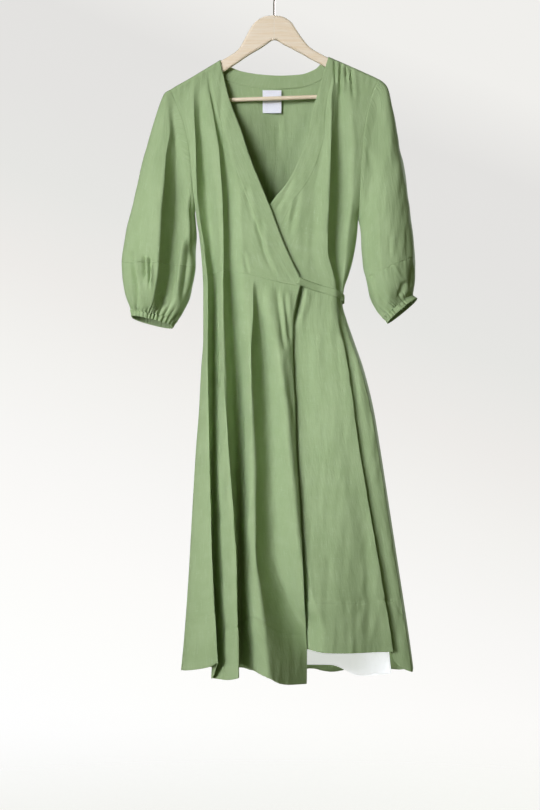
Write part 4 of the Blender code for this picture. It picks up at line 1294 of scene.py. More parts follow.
@dataclass
class NeckBand:
    """The folded band along the neck: two fronts that run down to the waist, and the back."""

    bodice: Bodice
    proud: float = 0.6
    upper_share: float = 0.2     # how much of that, and of the gathers, there is higher up
    upper_gathers: float = 0.1
    lower: Pair = (380.0, 140.0)      # from which drop on, and over how much
    top_reach: float = 12.0
    seam_clear: float = 4.0
    rear_slack: float = 1.1      # the rear seam's length for its width
    rear_rows: int = 11
    rear_fade: float = 14.0
    corners: Pair = (-104.0, 106.0)
    gathers: Triple = (11.0, 0.9, 12.0)      # pitch, height, reach
    seed: int = 37
    cuts: dict[str, Cut] = field(default_factory=lambda: {
        "front_right": Cut(0.46, 0.034, 0.95, ("linen_bodice_front_right",)),
        "front_left": Cut(0.46, 0.034, 0.87, ("linen_bodice_front_left",)),
        "back": Cut(0.26, 0.027, 0.92, ("linen_bodice_back",)),
    })
    pieces: Pieces = field(default_factory=dict)

    def front(self, side: Side) -> Grid:
        """One front band, a little proud of the bodice and puckered by its own seam lower down.

        Args:
            side: the wearer's side.

        Returns:
            The band's outer face.
        """
        wrapped = side is Side.RIGHT
        table = FORM.wrap_neck if wrapped else FORM.under_neck
        surface = FORM.wrap_front if wrapped else FORM.under_front
        seam = table.line("seam")
        edge = table.line("edge")
        lines = [seam, between(seam, edge, 0.5), edge]
        if not wrapped:
            lines.reverse()
        grid = Panel(surface, lines, SHOULDER_TOP, WAIST).grid().facing(FORWARD)
        away = np.abs(grid.x - seam(grid.drop))
        start = ease((grid.drop - SHOULDER_TOP(grid.x)) / self.top_reach)
        lower = ease((grid.drop - self.lower[0]) / self.lower[1])
        gathers = puckers(grid.drop, away, *self.gathers, self.seed)
        gathers = gathers * (self.upper_gathers + (1.0 - self.upper_gathers) * lower)
        height = self.bodice.relief("front_" + side.value, grid.x, grid.drop)
        share = self.upper_share + (1.0 - self.upper_share) * lower if wrapped else self.upper_share
        height = height + start * (self.proud * share + gathers * ease(away / self.seam_clear))
        free = (0.0, FINE_SEAM) if wrapped else (FINE_SEAM, 0.0)
        return grid.raised(height).drawn_in(SEWN, SEWN, *free)

    def rear(self) -> Grid:
        """The back band, from its seam up to its edge.

        Returns:
            The band's outer face.
        """
        low, high = FORM.back_neck.values[[0, -1], 0]
        count = math.ceil((high - low) * self.rear_slack / SPACING)
        along = np.linspace(0.0, 1.0, count)
        x = low + along * (high - low)
        edge_x = self.corners[0] + along * (self.corners[1] - self.corners[0])
        seam_drop = np.where((along > 0.0) & (along < 1.0), FORM.back_neck.at("seam", x), SHOULDER_TOP(x))
        edge_drop = FORM.back_neck.at("edge", edge_x)
        part = np.linspace(0.0, 1.0, self.rear_rows)[:, None]
        across = edge_x + (x - edge_x) * part
        drop = edge_drop + (seam_drop - edge_drop) * part
        points = FORM.back(across, drop)
        grid = Grid(points, measured(points)).facing(REARWARD)
        ends = ease(np.minimum(along, 1.0 - along) * (high - low) / self.rear_fade)
        return grid.raised(self.proud * ends * np.ones_like(part)).drawn_in(0.0, SEWN, SEWN, SEWN)

    def build(self) -> None:
        """Makes the three bands."""
        grids = {"front_right": self.front(Side.RIGHT), "front_left": self.front(Side.LEFT),
                 "back": self.rear()}
        for part, grid in grids.items():
            self.pieces[part] = shell("linen_neckband_" + part, grid, BAND_THICK)

    def dress(self) -> None:
        """Gives the bands their linen and puts them in their solids' places."""
        dress_linen(self.pieces, "neckband_{}")


# Each station runs from the sleeve's outer line to its inner line; deep is how far it stands
# out, tilt how far its front is raised over its back.
SLEEVE_COLUMNS = "at outer_x outer_drop inner_x inner_drop deep tilt ridge valley proud sink"


@dataclass(frozen=True)
class ArmShape:
    """How both sleeves are divided, from the armhole to the cuff's mouth."""

    armhole: Floats = (0.0, 0.4, 2.4, 7.2, 20.0, 45.0, 80.0, 116.0, 152.0, 184.0, 212.0, 230.0)
    panel_length: float = 355.0
    edge_parts: Floats = (0.0, 0.012, 0.05)
    ridge_parts: Floats = (0.35, 0.7, 1.0)
    valley_parts: Floats = (0.5, 1.0)
    inner_parts: Floats = (0.4, 0.75, 0.95, 1.0)
    rear_parts: Floats = (0.0, 0.012, 0.05, 0.14, 0.26, 0.40, 0.54, 0.68, 0.80, 0.92, 0.98, 1.0)
    spread: float = 1.5
    shape: float = 1.6
    back_plump: float = 0.8
    panel_at: float = 5.0
    cuff_at: float = 8.0
    mouth_at: float = 9.0
    open: float = 3.8            # grid spacing of the upper sleeve
    close: float = 2.2           # the same where the cloth is gathered


ARM = ArmShape()


@dataclass
class Sleeve:
    """One sleeve: its upper part, the gathered panel under it and the ruched cuff."""

    side: Side
    table: Table
    front: Surface
    edge: Line
    fore: Table
    aft: Table
    cuts: dict[str, Cut]
    seed: int
    # Number, height and reach of the gathers at the sleeve's head, its panel's seam and its cuff.
    head: tuple[int, float, float] = (46, 0.8, 13.0)
    panel: tuple[int, float, float] = (34, 0.9, 8.0)
    cuff: tuple[int, float, float] = (26, 5.2, 18.0)
    face_blend: float = 16.0     # over what depth the front's creases give way to the back's
    rumple: float = 1.7
    head_calm: float = 16.0
    head_start: float = 5.0
    above_share: float = 0.4     # how high the panel's gathers are above its seam
    cuff_calm: float = 20.0
    ruche_height: float = 2.6
    pieces: Pieces = field(default_factory=dict)

    def point(self, at: Array, across: Array, face: int) -> Array:
        """Point of the sleeve, across from its outer line, 0, to its inner line, 1.

        Args:
            at: station along the sleeve.
            across: how far across it.
            face: -1 on the front and 1 on the back.

        Returns:
            The point.
        """
        (outer_x, outer_drop, inner_x, inner_drop, deep, tilt, ridge, valley, proud,
         sink) = self.table.all_at(at)
        plump = rounded(2.0 * across - 1.0)
        out = deep * plump
        rise = ease(across / np.maximum(ridge, 0.01))
        fall = ease((across - ridge) / (valley - ridge)) ** 0.7
        fade = 1.0 - ease((across - valley) / (1.0 - valley))
        fold = np.where(across < ridge, proud * rise, proud - (proud + sink) * fall) * fade
        out = out + fold * plump if face < 0 else out * ARM.back_plump
        x = outer_x + (inner_x - outer_x) * across
        drop = outer_drop + (inner_drop - outer_drop) * across
        return np.stack((x, face * out, -drop - tilt * face * plump), axis=-1)

    def armhole(self, place: Array, surface: Surface, waist: Line) -> Array:
        """Points down one edge of the armhole, place counting its named rows.

        Args:
            place: rows, counted from the top.
            surface: the bodice there.
            waist: its lower seam.

        Returns:
            The points.
        """
        high, low = 200.0, 600.0
        for _ in range(MEETING_ROUNDS):
            high = float(SHOULDER_TOP(self.edge(high)))
            low = float(waist(self.edge(low)))
        share = np.interp(place, np.arange(len(ARM.armhole)), ARM.armhole) / ARM.panel_length
        drop = high + (low - high) * share
        return surface(self.edge(drop), drop)

    def spread_out(self, place: Array, at: Array, face: int, arm: Array) -> Array:
        """How far across each line lies at a station, from the armhole's spacing to the sleeve's own.

        Args:
            place: lines, counted from the outer one.
            at: stations along the sleeve.
            face: -1 on the front and 1 on the back.
            arm: where each line starts at the armhole.

        Returns:
            Each line's place across.
        """
        if face > 0:
            own = np.interp(place, np.arange(len(ARM.rear_parts)), ARM.rear_parts)
            return arm + (own - arm) * ease(at / ARM.spread)
        ridge = self.table.at("ridge", at)
        valley = self.table.at("valley", at)
        marks = [part * np.ones_like(ridge) for part in ARM.edge_parts]
        marks += [ridge * part for part in ARM.ridge_parts]
        marks += [ridge + (valley - ridge) * part for part in ARM.valley_parts]
        marks += [valley + (1.0 - valley) * part for part in ARM.inner_parts]
        marks = np.stack(marks)
        low = np.clip(np.floor(place).astype(int), 0, len(marks) - 2)
        part = place - low
        own = marks[low] * (1.0 - part)[:, None] + marks[low + 1] * part[:, None]
        return arm + (own.T - arm) * ease(at / ARM.spread)[:, None]

    def rings(self, at: Array, places: dict[int, Array]) -> Array:
        """Rings of points round the sleeve, which near the armhole keep the armhole's own shape.

        Args:
            at: stations along the sleeve.
            places: the lines wanted, by face.

        Returns:
            The points, a ring for each station.
        """
        found = []
        for face, place in places.items():
            surface, waist = (self.front, WAIST) if face < 0 else (FORM.back, BACK_WAIST)
            hole = self.armhole(place, surface, waist)
            ends = self.armhole(np.array([0.0, len(ARM.armhole) - 1.0]), surface, waist)[:, 2]
            arm = (hole[:, 2] - ends[0]) / (ends[1] - ends[0])
            column = at[:, None]
            own = self.point(column, self.spread_out(place, at if face < 0 else column, face, arm), face)
            start = self.point(np.zeros((1, 1)), arm[None, :], face)
            keep = (1.0 - ease(column / ARM.shape))[..., None]
            found.append(own + (hole[None] - start) * keep)
        return np.concatenate(found, axis=1)

    def grid(self, first: float, last: float, spacing: float) -> Grid:
        """The fine grid between two stations, its columns going round the sleeve.

        Args:
            first: the station that it starts at.
            last: the station that it ends at.
            spacing: between neighbouring points.

        Returns:
            The grid.
        """
        coarse = np.linspace(first, last, 60)
        marks = len(ARM.armhole)
        test = {-1: np.linspace(0.0, marks - 1.0, 12 * (marks - 1) + 1)}
        run = self.rings(np.linspace(0.0, ARM.mouth_at, 40), test)
        arc = lengths(np.diff(run, axis=1)).max(axis=0).reshape(marks - 1, -1).sum(axis=1)
        down = [np.arange(n) / n + k for k, n in enumerate(np.maximum(1, np.ceil(arc / spacing)).astype(int))]
        down = np.concatenate(down + [np.array([marks - 1.0])])
        places = {-1: down, 1: down[-2:0:-1]}
        length = self.rings(coarse, places)
        rows = lengths(np.diff(length, axis=0))
        longest = rows[:, rows.sum(axis=0).argmax()]
        total = np.concatenate(((0.0,), np.cumsum(longest)))
        count = max(4, math.ceil(total[-1] / spacing) + 1)
        at = np.interp(np.linspace(0.0, total[-1], count), total, coarse)
        points = self.rings(at, places)
        return Grid(points, measured(points, closed=True), closed=True).facing(FORWARD)

    def relief(self, grid: Grid, part: str) -> Array:
        """Creases, unevenness and gathers of one part of the sleeve.

        Args:
            grid: the part's plain form.
            part: the part's name.

        Returns:
            The height at each point.
        """
        front = ease(0.5 - grid.points[..., 1] / self.face_blend)
        x = grid.x
        drop = grid.drop
        plain = creased(self.fore, x, drop) + self.rumple * RUMPLE.height(x, drop, self.seed)
        behind = creased(self.aft, x, drop) + self.rumple * RUMPLE.height(x, drop, self.seed + 3)
        height = plain * front + behind * (1.0 - front)
        around, down = grid.reach()
        left = down[-1] - down
        if part == "sleeve":
            eased = ring_gathers(around, down, *self.head, self.seed + 11) * ease(down / self.head_start)
            count, high, reach = self.panel
            above = ring_gathers(around, left, count, high * self.above_share, reach, self.seed + 17)
            return height * ease(down / self.head_calm) + eased + above
        if part == "panel":
            top = ring_gathers(around, down, *self.panel, self.seed + 17)
            low = ring_gathers(around, left, *self.cuff, self.seed + 23)
            return height * ease(left / self.cuff_calm) + top + low
        steady = ring_gathers(around, np.zeros_like(down), self.cuff[0], 1.0, 1.0, self.seed + 23)
        across = down / np.maximum(down[-1], 1e-6)
        return steady * (self.ruche_height + (self.cuff[1] - self.ruche_height) * (1.0 - across) ** 3)

    def build(self) -> None:
        """Makes the sleeve's three parts."""
        parts = (("sleeve", 0.0, ARM.panel_at, ARM.open), ("panel", ARM.panel_at, ARM.cuff_at, ARM.close),
                 ("cuff", ARM.cuff_at, ARM.mouth_at, ARM.close))
        for part, first, last, spacing in parts:
            grid = self.grid(first, last, spacing)
            grid = grid.raised(self.relief(grid, part))
            grid = grid.drawn_in(SEWN, 0.0 if part == "cuff" else SEWN, 0.0, 0.0)
            name = "sleeve_panel" if part == "panel" else part
            self.pieces[name] = shell(f"linen_{name}_{self.side.value}", grid, LINEN_THICK)

    def dress(self) -> None:
        """Gives the parts their linen and puts them in their solids' places."""
        dress_linen(self.pieces, "{}_" + self.side.value)


def right_sleeve() -> Sleeve:
    """The wearer's right sleeve.

    Returns:
        The sleeve, not yet built.
    """
    table = Table(SLEEVE_COLUMNS, (
        (0, -199, 230, -152, 460, 16, 0, 0.05, 0.1, 0, 0),
        (0.4, -212, 239, -152, 464, 18, 0, 0.1, 0.18, 3, 2),
        (1, -225, 272, -151, 471, 25, 0, 0.28, 0.46, 8, 13),
        (2, -249, 350, -150, 490, 36, 0, 0.4, 0.61, 11, 26),
        (3, -268, 430, -149, 512, 43, 0, 0.44, 0.65, 11, 30),
        (4, -284, 500, -151, 538, 47, 0, 0.5, 0.67, 11, 28),
        (5, -293, 562, -152, 570, 48, 0, 0.52, 0.67, 11, 28),
        (6, -288, 612, -160, 618, 45, 0, 0.48, 0.64, 10, 25),
        (7, -279, 642, -175, 652, 36, 2, 0.43, 0.62, 7, 15),
        (8, -276, 656, -190, 674, 27, 4, 0.42, 0.62, 2, 2),
        (9, -275, 666, -196, 686, 27, 5, 0.42, 0.62, 0, 0),
    ))
    fore = Table(CREASES, (
        (-172, 506, -177, 572, -190, 650, 10, 5), (-157, 430, -154, 500, -155, 570, -6, 6),
        (-272, 540, -267, 582, -256, 660, -9, 4.4), (-248, 546, -247, 572, -246, 600, -7, 2.8),
        (-237, 550, -236, 580, -239, 622, -5, 1.9), (-222, 622, -214, 634, -204, 652, -3, 4),
        (-205, 268, -222, 330, -232, 392, 1.4, 8), (-228, 330, -240, 400, -252, 460, 1.3, 9),
        (-196, 300, -200, 380, -204, 470, -1.4, 7), (-176, 330, -178, 400, -176, 460, 1.2, 7),
        (-268, 470, -262, 510, -250, 552, -1.2, 6),
    ))
    aft = Table(CREASES, (
        (-190, 268, -208, 360, -214, 450, -2.4, 9), (-172, 380, -190, 470, -204, 560, -2.2, 8),
        (-226, 330, -246, 430, -256, 520, 1.8, 9), (-250, 470, -244, 540, -236, 610, -1.8, 6),
        (-180, 520, -190, 570, -200, 620, -1.6, 5),
    ))
    cuts = {
        "sleeve": Cut(0.43, 0.35, 0.59, ("linen_bodice_front_right", "linen_bodice_back")),
        "sleeve_panel": Cut(0.44, 0.11, 0.79, ("linen_sleeve_right",)),
        "cuff": Cut(0.34, 0.014, 0.66, ("linen_sleeve_panel_right",)),
    }
    return Sleeve(Side.RIGHT, table, FORM.wrap_front, LEFT, fore, aft, cuts, 53)


def left_sleeve() -> Sleeve:
    """The wearer's left sleeve.

    Returns:
        The sleeve, not yet built.
    """
    table = Table(SLEEVE_COLUMNS, (
        (0, 201, 207, 162, 478, 16, 0, 0.6, 0.75, 0, 0), (0.4, 216, 218, 163, 480, 18, 0, 0.6, 0.76, 0, 0),
        (1, 228, 262, 164, 485, 25, 0, 0.6, 0.78, 1, 1), (2, 243, 344, 166, 496, 36, 0, 0.62, 0.8, 2, 3),
        (3, 258, 421, 168, 518, 43, 0, 0.66, 0.84, 4, 5), (4, 268, 502, 170, 560, 47, 0, 0.68, 0.86, 6, 7),
        (5, 272, 550, 176, 592, 47, 0, 0.7, 0.86, 7, 8), (6, 272, 588, 185, 627, 43, 0, 0.68, 0.84, 6, 8),
        (7, 270, 612, 197, 650, 35, 2, 0.62, 0.8, 4, 6), (8, 268, 624, 212, 667, 27, 4, 0.58, 0.72, 1, 1),
        (9, 276, 631, 219, 677, 27, 5, 0.58, 0.72, 0, 0),
    ))
    fore = Table(CREASES, (
        (255, 350, 262, 440, 266, 540, -2.6, 9), (178, 589, 186, 590, 196, 596, -1.6, 4),
        (186, 578, 192, 582, 202, 590, 1.3, 4), (218, 562, 233, 580, 249, 606, 1.2, 3),
        (218, 510, 219, 535, 218, 562, -1.4, 3.4), (252, 490, 254, 525, 252, 566, -2.2, 5),
        (250, 596, 244, 618, 234, 642, -5, 6), (264, 560, 262, 590, 258, 620, -4, 4),
        (178, 340, 182, 360, 190, 400, -1.6, 6), (200, 230, 216, 300, 226, 380, 1.3, 9),
        (190, 300, 202, 400, 214, 500, 1.2, 10), (240, 400, 244, 470, 240, 540, -1.3, 8),
    ))
    aft = Table(CREASES, (
        (206, 250, 222, 350, 228, 450, -2.4, 9), (182, 370, 198, 460, 212, 560, -2.2, 8),
        (236, 330, 250, 430, 254, 520, 1.8, 9), (244, 480, 246, 540, 244, 600, -1.8, 6),
        (196, 560, 206, 600, 216, 640, -1.6, 5),
    ))
    cuts = {
        "sleeve": Cut(0.32, 0.36, 0.66, ("linen_bodice_front_left", "linen_bodice_back")),
        "sleeve_panel": Cut(0.32, 0.087, 0.82, ("linen_sleeve_left",)),
        "cuff": Cut(0.31, 0.013, 0.71, ("linen_sleeve_panel_left",)),
    }
    return Sleeve(Side.LEFT, table, FORM.under_front, RIGHT, fore, aft, cuts, 71)


@dataclass
class Skirt:
    """The skirt's two fronts, which cross over, and its back."""

    side_reach: float = 12.0
    waist_reach: float = 18.0
    waist_share: float = 0.3     # the creases' share left at the seam
    rumple: float = 1.25
    hem_deep: float = 96.0       # from the hem up to its line of stitching
    hem_proud: float = 0.8
    stitch_wide: float = 3.0
    stitch_sink: float = 1.6     # how deep the stitching lies, in the hem's own heights
    stitch_clear: float = 4.0
    # Pitch, height and reach of the gathers along the stitching, below it and at the hem itself.
    hem_puckers: Triple = (8.0, 0.5, 16.0)
    hem_waves: Triple = (21.0, 0.55, 30.0)
    hem_ticks: Triple = (9.0, 1.1, 6.0)
    wave_start: float = 40.0
    hem_from: float = 100.0      # how far below the waist the hem's own relief may start
    back_columns: int = 22
    cuts: dict[str, Cut] = field(default_factory=lambda: {
        "front_right": Cut(0.51, 0.80, 0.75, ("linen_bodice_front_right",)),
        "front_left": Cut(0.50, 0.76, 0.67, ("linen_bodice_front_left",)),
        "back": Cut(0.72, 0.78, 0.70, ("linen_bodice_back",)),
    })
    creases: dict[str, Table] = field(default_factory=lambda: {
        "front_right": Table(CREASES, (
            (2, 602, 12, 670, 22, 744, -5, 5), (18, 612, 25, 670, 31, 736, -4, 4),
            (20, 740, 30, 800, 40, 880, -2, 5), (-52, 640, -56, 700, -60, 760, 1.2, 8),
            (14, 640, 22, 700, 27, 760, 1, 6), (-20, 900, -12, 1000, -6, 1100, 1.3, 12),
            (22, 960, 30, 1060, 36, 1160, -1.1, 10), (-106, 700, -104, 800, -100, 900, -1, 7),
            (-126, 760, -128, 860, -130, 960, 1.1, 8),
        )),
        "front_left": Table(CREASES, (
            (53, 590, 48, 630, 38, 684, -8, 6), (170, 999, 176, 1140, 178, 1288, -1.5, 8),
            (118, 691, 122, 750, 123, 810, -1.2, 5), (147, 762, 158, 820, 166, 884, -1.2, 5),
            (74, 680, 80, 760, 84, 860, 1.1, 10), (100, 900, 108, 1000, 112, 1120, -1, 11),
            (136, 960, 144, 1060, 150, 1160, 1.2, 12), (196, 860, 210, 960, 222, 1060, 1.2, 9),
            (80, 1120, 86, 1190, 90, 1270, 1.1, 10), (238, 1180, 244, 1240, 248, 1300, -1, 7),
        )),
        "back": Table(CREASES, (
            (-110, 640, -104, 740, -100, 860, 1.2, 9), (-60, 650, -50, 740, -46, 840, -1.3, 7),
            (0, 650, 6, 740, 8, 860, 1.2, 9), (48, 660, 60, 760, 70, 880, -1.3, 7),
            (96, 670, 112, 760, 128, 870, 1.2, 8), (-90, 900, -84, 1040, -80, 1180, -1.2, 11),
            (30, 920, 34, 1060, 36, 1200, 1.3, 12), (140, 900, 158, 1020, 170, 1160, -1.2, 10),
        )),
    })
    pieces: Pieces = field(default_factory=dict)

    def under_lines(self) -> list[Line]:
        """Feature lines of the inner front, from its hidden free edge to the side.

        Returns:
            The lines, in order.
        """
        edge = FORM.wrap_edge.line("x")
        hidden = FORM.hidden_edge.line("x")
        fold = fold_lines(FORM.folds.bust, edge, RIGHT)
        lines = [between(hidden, edge, part) for part in (0.0, 0.4, 0.75, 0.9, 1.0)]
        lines += [between(edge, fold[0], part) for part in (0.2, 0.6)] + fold
        return lines + [between(fold[-1], RIGHT, 0.5), beside(RIGHT, -EDGE_LINE), RIGHT]

    def relief(self, part: str, grid: Grid, waist: Line, hem: Line) -> Array:
        """Creases, unevenness and the stitched hem of one panel.

        Args:
            part: the panel.
            grid: its plain form.
            waist: its upper seam.
            hem: its lower edge.

        Returns:
            The height at each point.
        """
        x = grid.x
        drop = grid.drop
        seed = BACK_SEED if part == "back" else FRONT_SEED
        side = FORM.inside(x, drop, self.side_reach)
        under = drop - waist(x)
        calm = side * (self.waist_share + (1.0 - self.waist_share) * ease(under / self.waist_reach))
        plain = creased(self.creases[part], x, drop) + self.rumple * RUMPLE.height(x, drop, seed)
        line = drop - hem(x) + self.hem_deep
        sunk = self.stitch_sink * np.exp(-(line / self.stitch_wide) ** 2)
        turned = self.hem_proud * (ease(line / self.stitch_wide) - sunk)
        away = np.abs(line)
        drawn = puckers(x, away, *self.hem_puckers, seed + 41) * ease(away / self.stitch_clear)
        waved = puckers(x, np.zeros_like(drop), *self.hem_waves, seed + 47) * ease(line / self.wave_start)
        ticked = puckers(x, hem(x) - drop, *self.hem_ticks, seed + 53)
        low = ease((under - self.hem_from) / self.hem_from)
        return plain * calm + (turned + drawn + waved + ticked) * side * low

    def build(self) -> None:
        """Makes the three panels."""
        folds = (FORM.folds.side, FORM.folds.princess, FORM.folds.wrap)
        wrap_lines = outer_lines(folds, FORM.wrap_edge.line("x"), 0.3)
        across = back_lines(np.linspace(0.0, 1.0, self.back_columns + 1)[1:-1])
        plans = (
            ("front_right", FORM.wrap_front, wrap_lines, WAIST, FORM.hem, FORWARD, (0.0, SEWN),
             SKIRT_SPACING),
            ("front_left", FORM.under_front, self.under_lines(), WAIST, FORM.under_hem, FORWARD, (SEWN, 0.0),
             SKIRT_SPACING),
            ("back", FORM.back, across, BACK_WAIST, FORM.back_hem, REARWARD, (SEWN, SEWN), PLAIN_SPACING),
        )
        for part, surface, lines, waist, table, outward, sewn, spacing in plans:
            hem = table.line("drop")
            grid = Panel(surface, lines, waist, hem, *SKIRT_SPAN, spacing).grid().facing(outward)
            grid = grid.raised(self.relief(part, grid, waist, hem))
            grid = grid.drawn_in(SEWN, 0.0, *sewn)
            self.pieces[part] = shell("linen_skirt_" + part, grid, LINEN_THICK)

    def dress(self) -> None:
        """Gives the panels their linen and puts them in their solids' places."""
        dress_linen(self.pieces, "skirt_{}")


@dataclass
class Lining:
    """White cotton behind the wearer, which shows under the inner front's hem."""

    step_in: float = 1.8
    clear: Pair = (4.0, 40.0)      # how far it leaves the back, and over what drop
    sag: Pair = (21.0, 480.0)
    hem_rise: float = 17.0
    # How much lower the hem is at the wearer's left, from which x on, and over how much.
    hem_dip: Triple = (20.0, 110.0, 60.0)
    first: float = 2.0 / 22.0
    last: float = 20.0 / 22.0
    calm: float = 60.0
    seed: int = 91
    cut: Cut = Cut(0.38, 0.78, 0.77, ("linen_bodice_back",))

    def surface(self, x: Array, drop: Array) -> Array:
        """Point of the lining, which hangs plain inside the back's folds.

        Args:
            x: places across.
            drop: places down.

        Returns:
            The points.
        """
        under = drop - BACK_WAIST(x)
        inward = self.step_in + self.clear[0] * ease(under / self.clear[1])
        inward = inward + self.sag[0] * ease(under / self.sag[1])
        out = FORM.cap(FORM.plain("back", x, drop), x, drop) - inward
        return np.stack((x, out, -drop), axis=-1)

    def hem(self, x: Array) -> Array:
        """Drop of the lining's hem."""
        dip, start, run = self.hem_dip
        return FORM.back_hem.at("drop", x) - self.hem_rise + dip * ease((x - start) / run)

    def build(self) -> None:
        """Makes the lining."""
        lines = [between(LEFT, RIGHT, part) for part in (self.first, 0.5, self.last)]
        panel = Panel(self.surface, lines, BACK_WAIST, self.hem, *SKIRT_SPAN, PLAIN_SPACING)
        grid = panel.grid().facing(REARWARD)
        start = ease((grid.drop - BACK_WAIST(grid.x)) / self.calm)
        grid = grid.raised(start * RUMPLE.height(grid.x, grid.drop, self.seed)).drawn_in(SEWN, 0.0, 0.0, 0.0)
        self.piece = shell("cotton_skirt_lining", grid, COTTON_THICK)

    def dress(self) -> None:
        """Gives the lining its cotton."""
        declare(self.piece, "skirt_lining", COTTON)


@dataclass
class NeckLabel:
    """The blank label inside the back neck, sewn on along its folded ends."""

    width: float = 36.0
    height: float = 43.0
    centre: float = -4.0
    top: float = 227.0
    behind: float = 1.8
    thick: float = 0.5
    fold: float = 4.0
    fold_proud: float = 0.25
    stitch: Pair = (1.3, 0.9)      # how deep, in the fold's own heights, and how wide
    wave: float = 0.35
    wave_size: Pair = (11.0, 13.0)
    wave_start: float = 8.0
    seed: int = 17
    spacing: float = 1.0
    cut: Cut = Cut(0.036, 0.044, 1.0, ("linen_bodice_back",))

    def build(self) -> None:
        """Makes the label, a little thicker along its folded top and bottom."""
        across = np.linspace(-0.5, 0.5, round(self.width / self.spacing) + 1) * self.width
        down = np.linspace(0.0, 1.0, round(self.height / self.spacing) + 1)[:, None] * self.height
        x, drop = np.broadcast_arrays(self.centre + across, self.top + down)
        points = FORM.back(x, drop, self.behind)
        grid = Grid(points, measured(points)).facing(REARWARD)
        ends = np.minimum(down, self.height - down)
        deep, wide = self.stitch
        lift = self.wave * uneven(x, drop, self.wave_size, self.seed) * ease(ends / self.wave_start)
        sewn = deep * np.exp(-((ends - self.fold) / wide) ** 2)
        lift = lift + self.fold_proud * (ease(self.fold - ends) - sewn)
        self.piece = shell("satin_neck_label", grid.raised(-lift), self.thick)

    def dress(self) -> None:
        """Gives the label its satin."""
        declare(self.piece, "neck_label", SATIN)


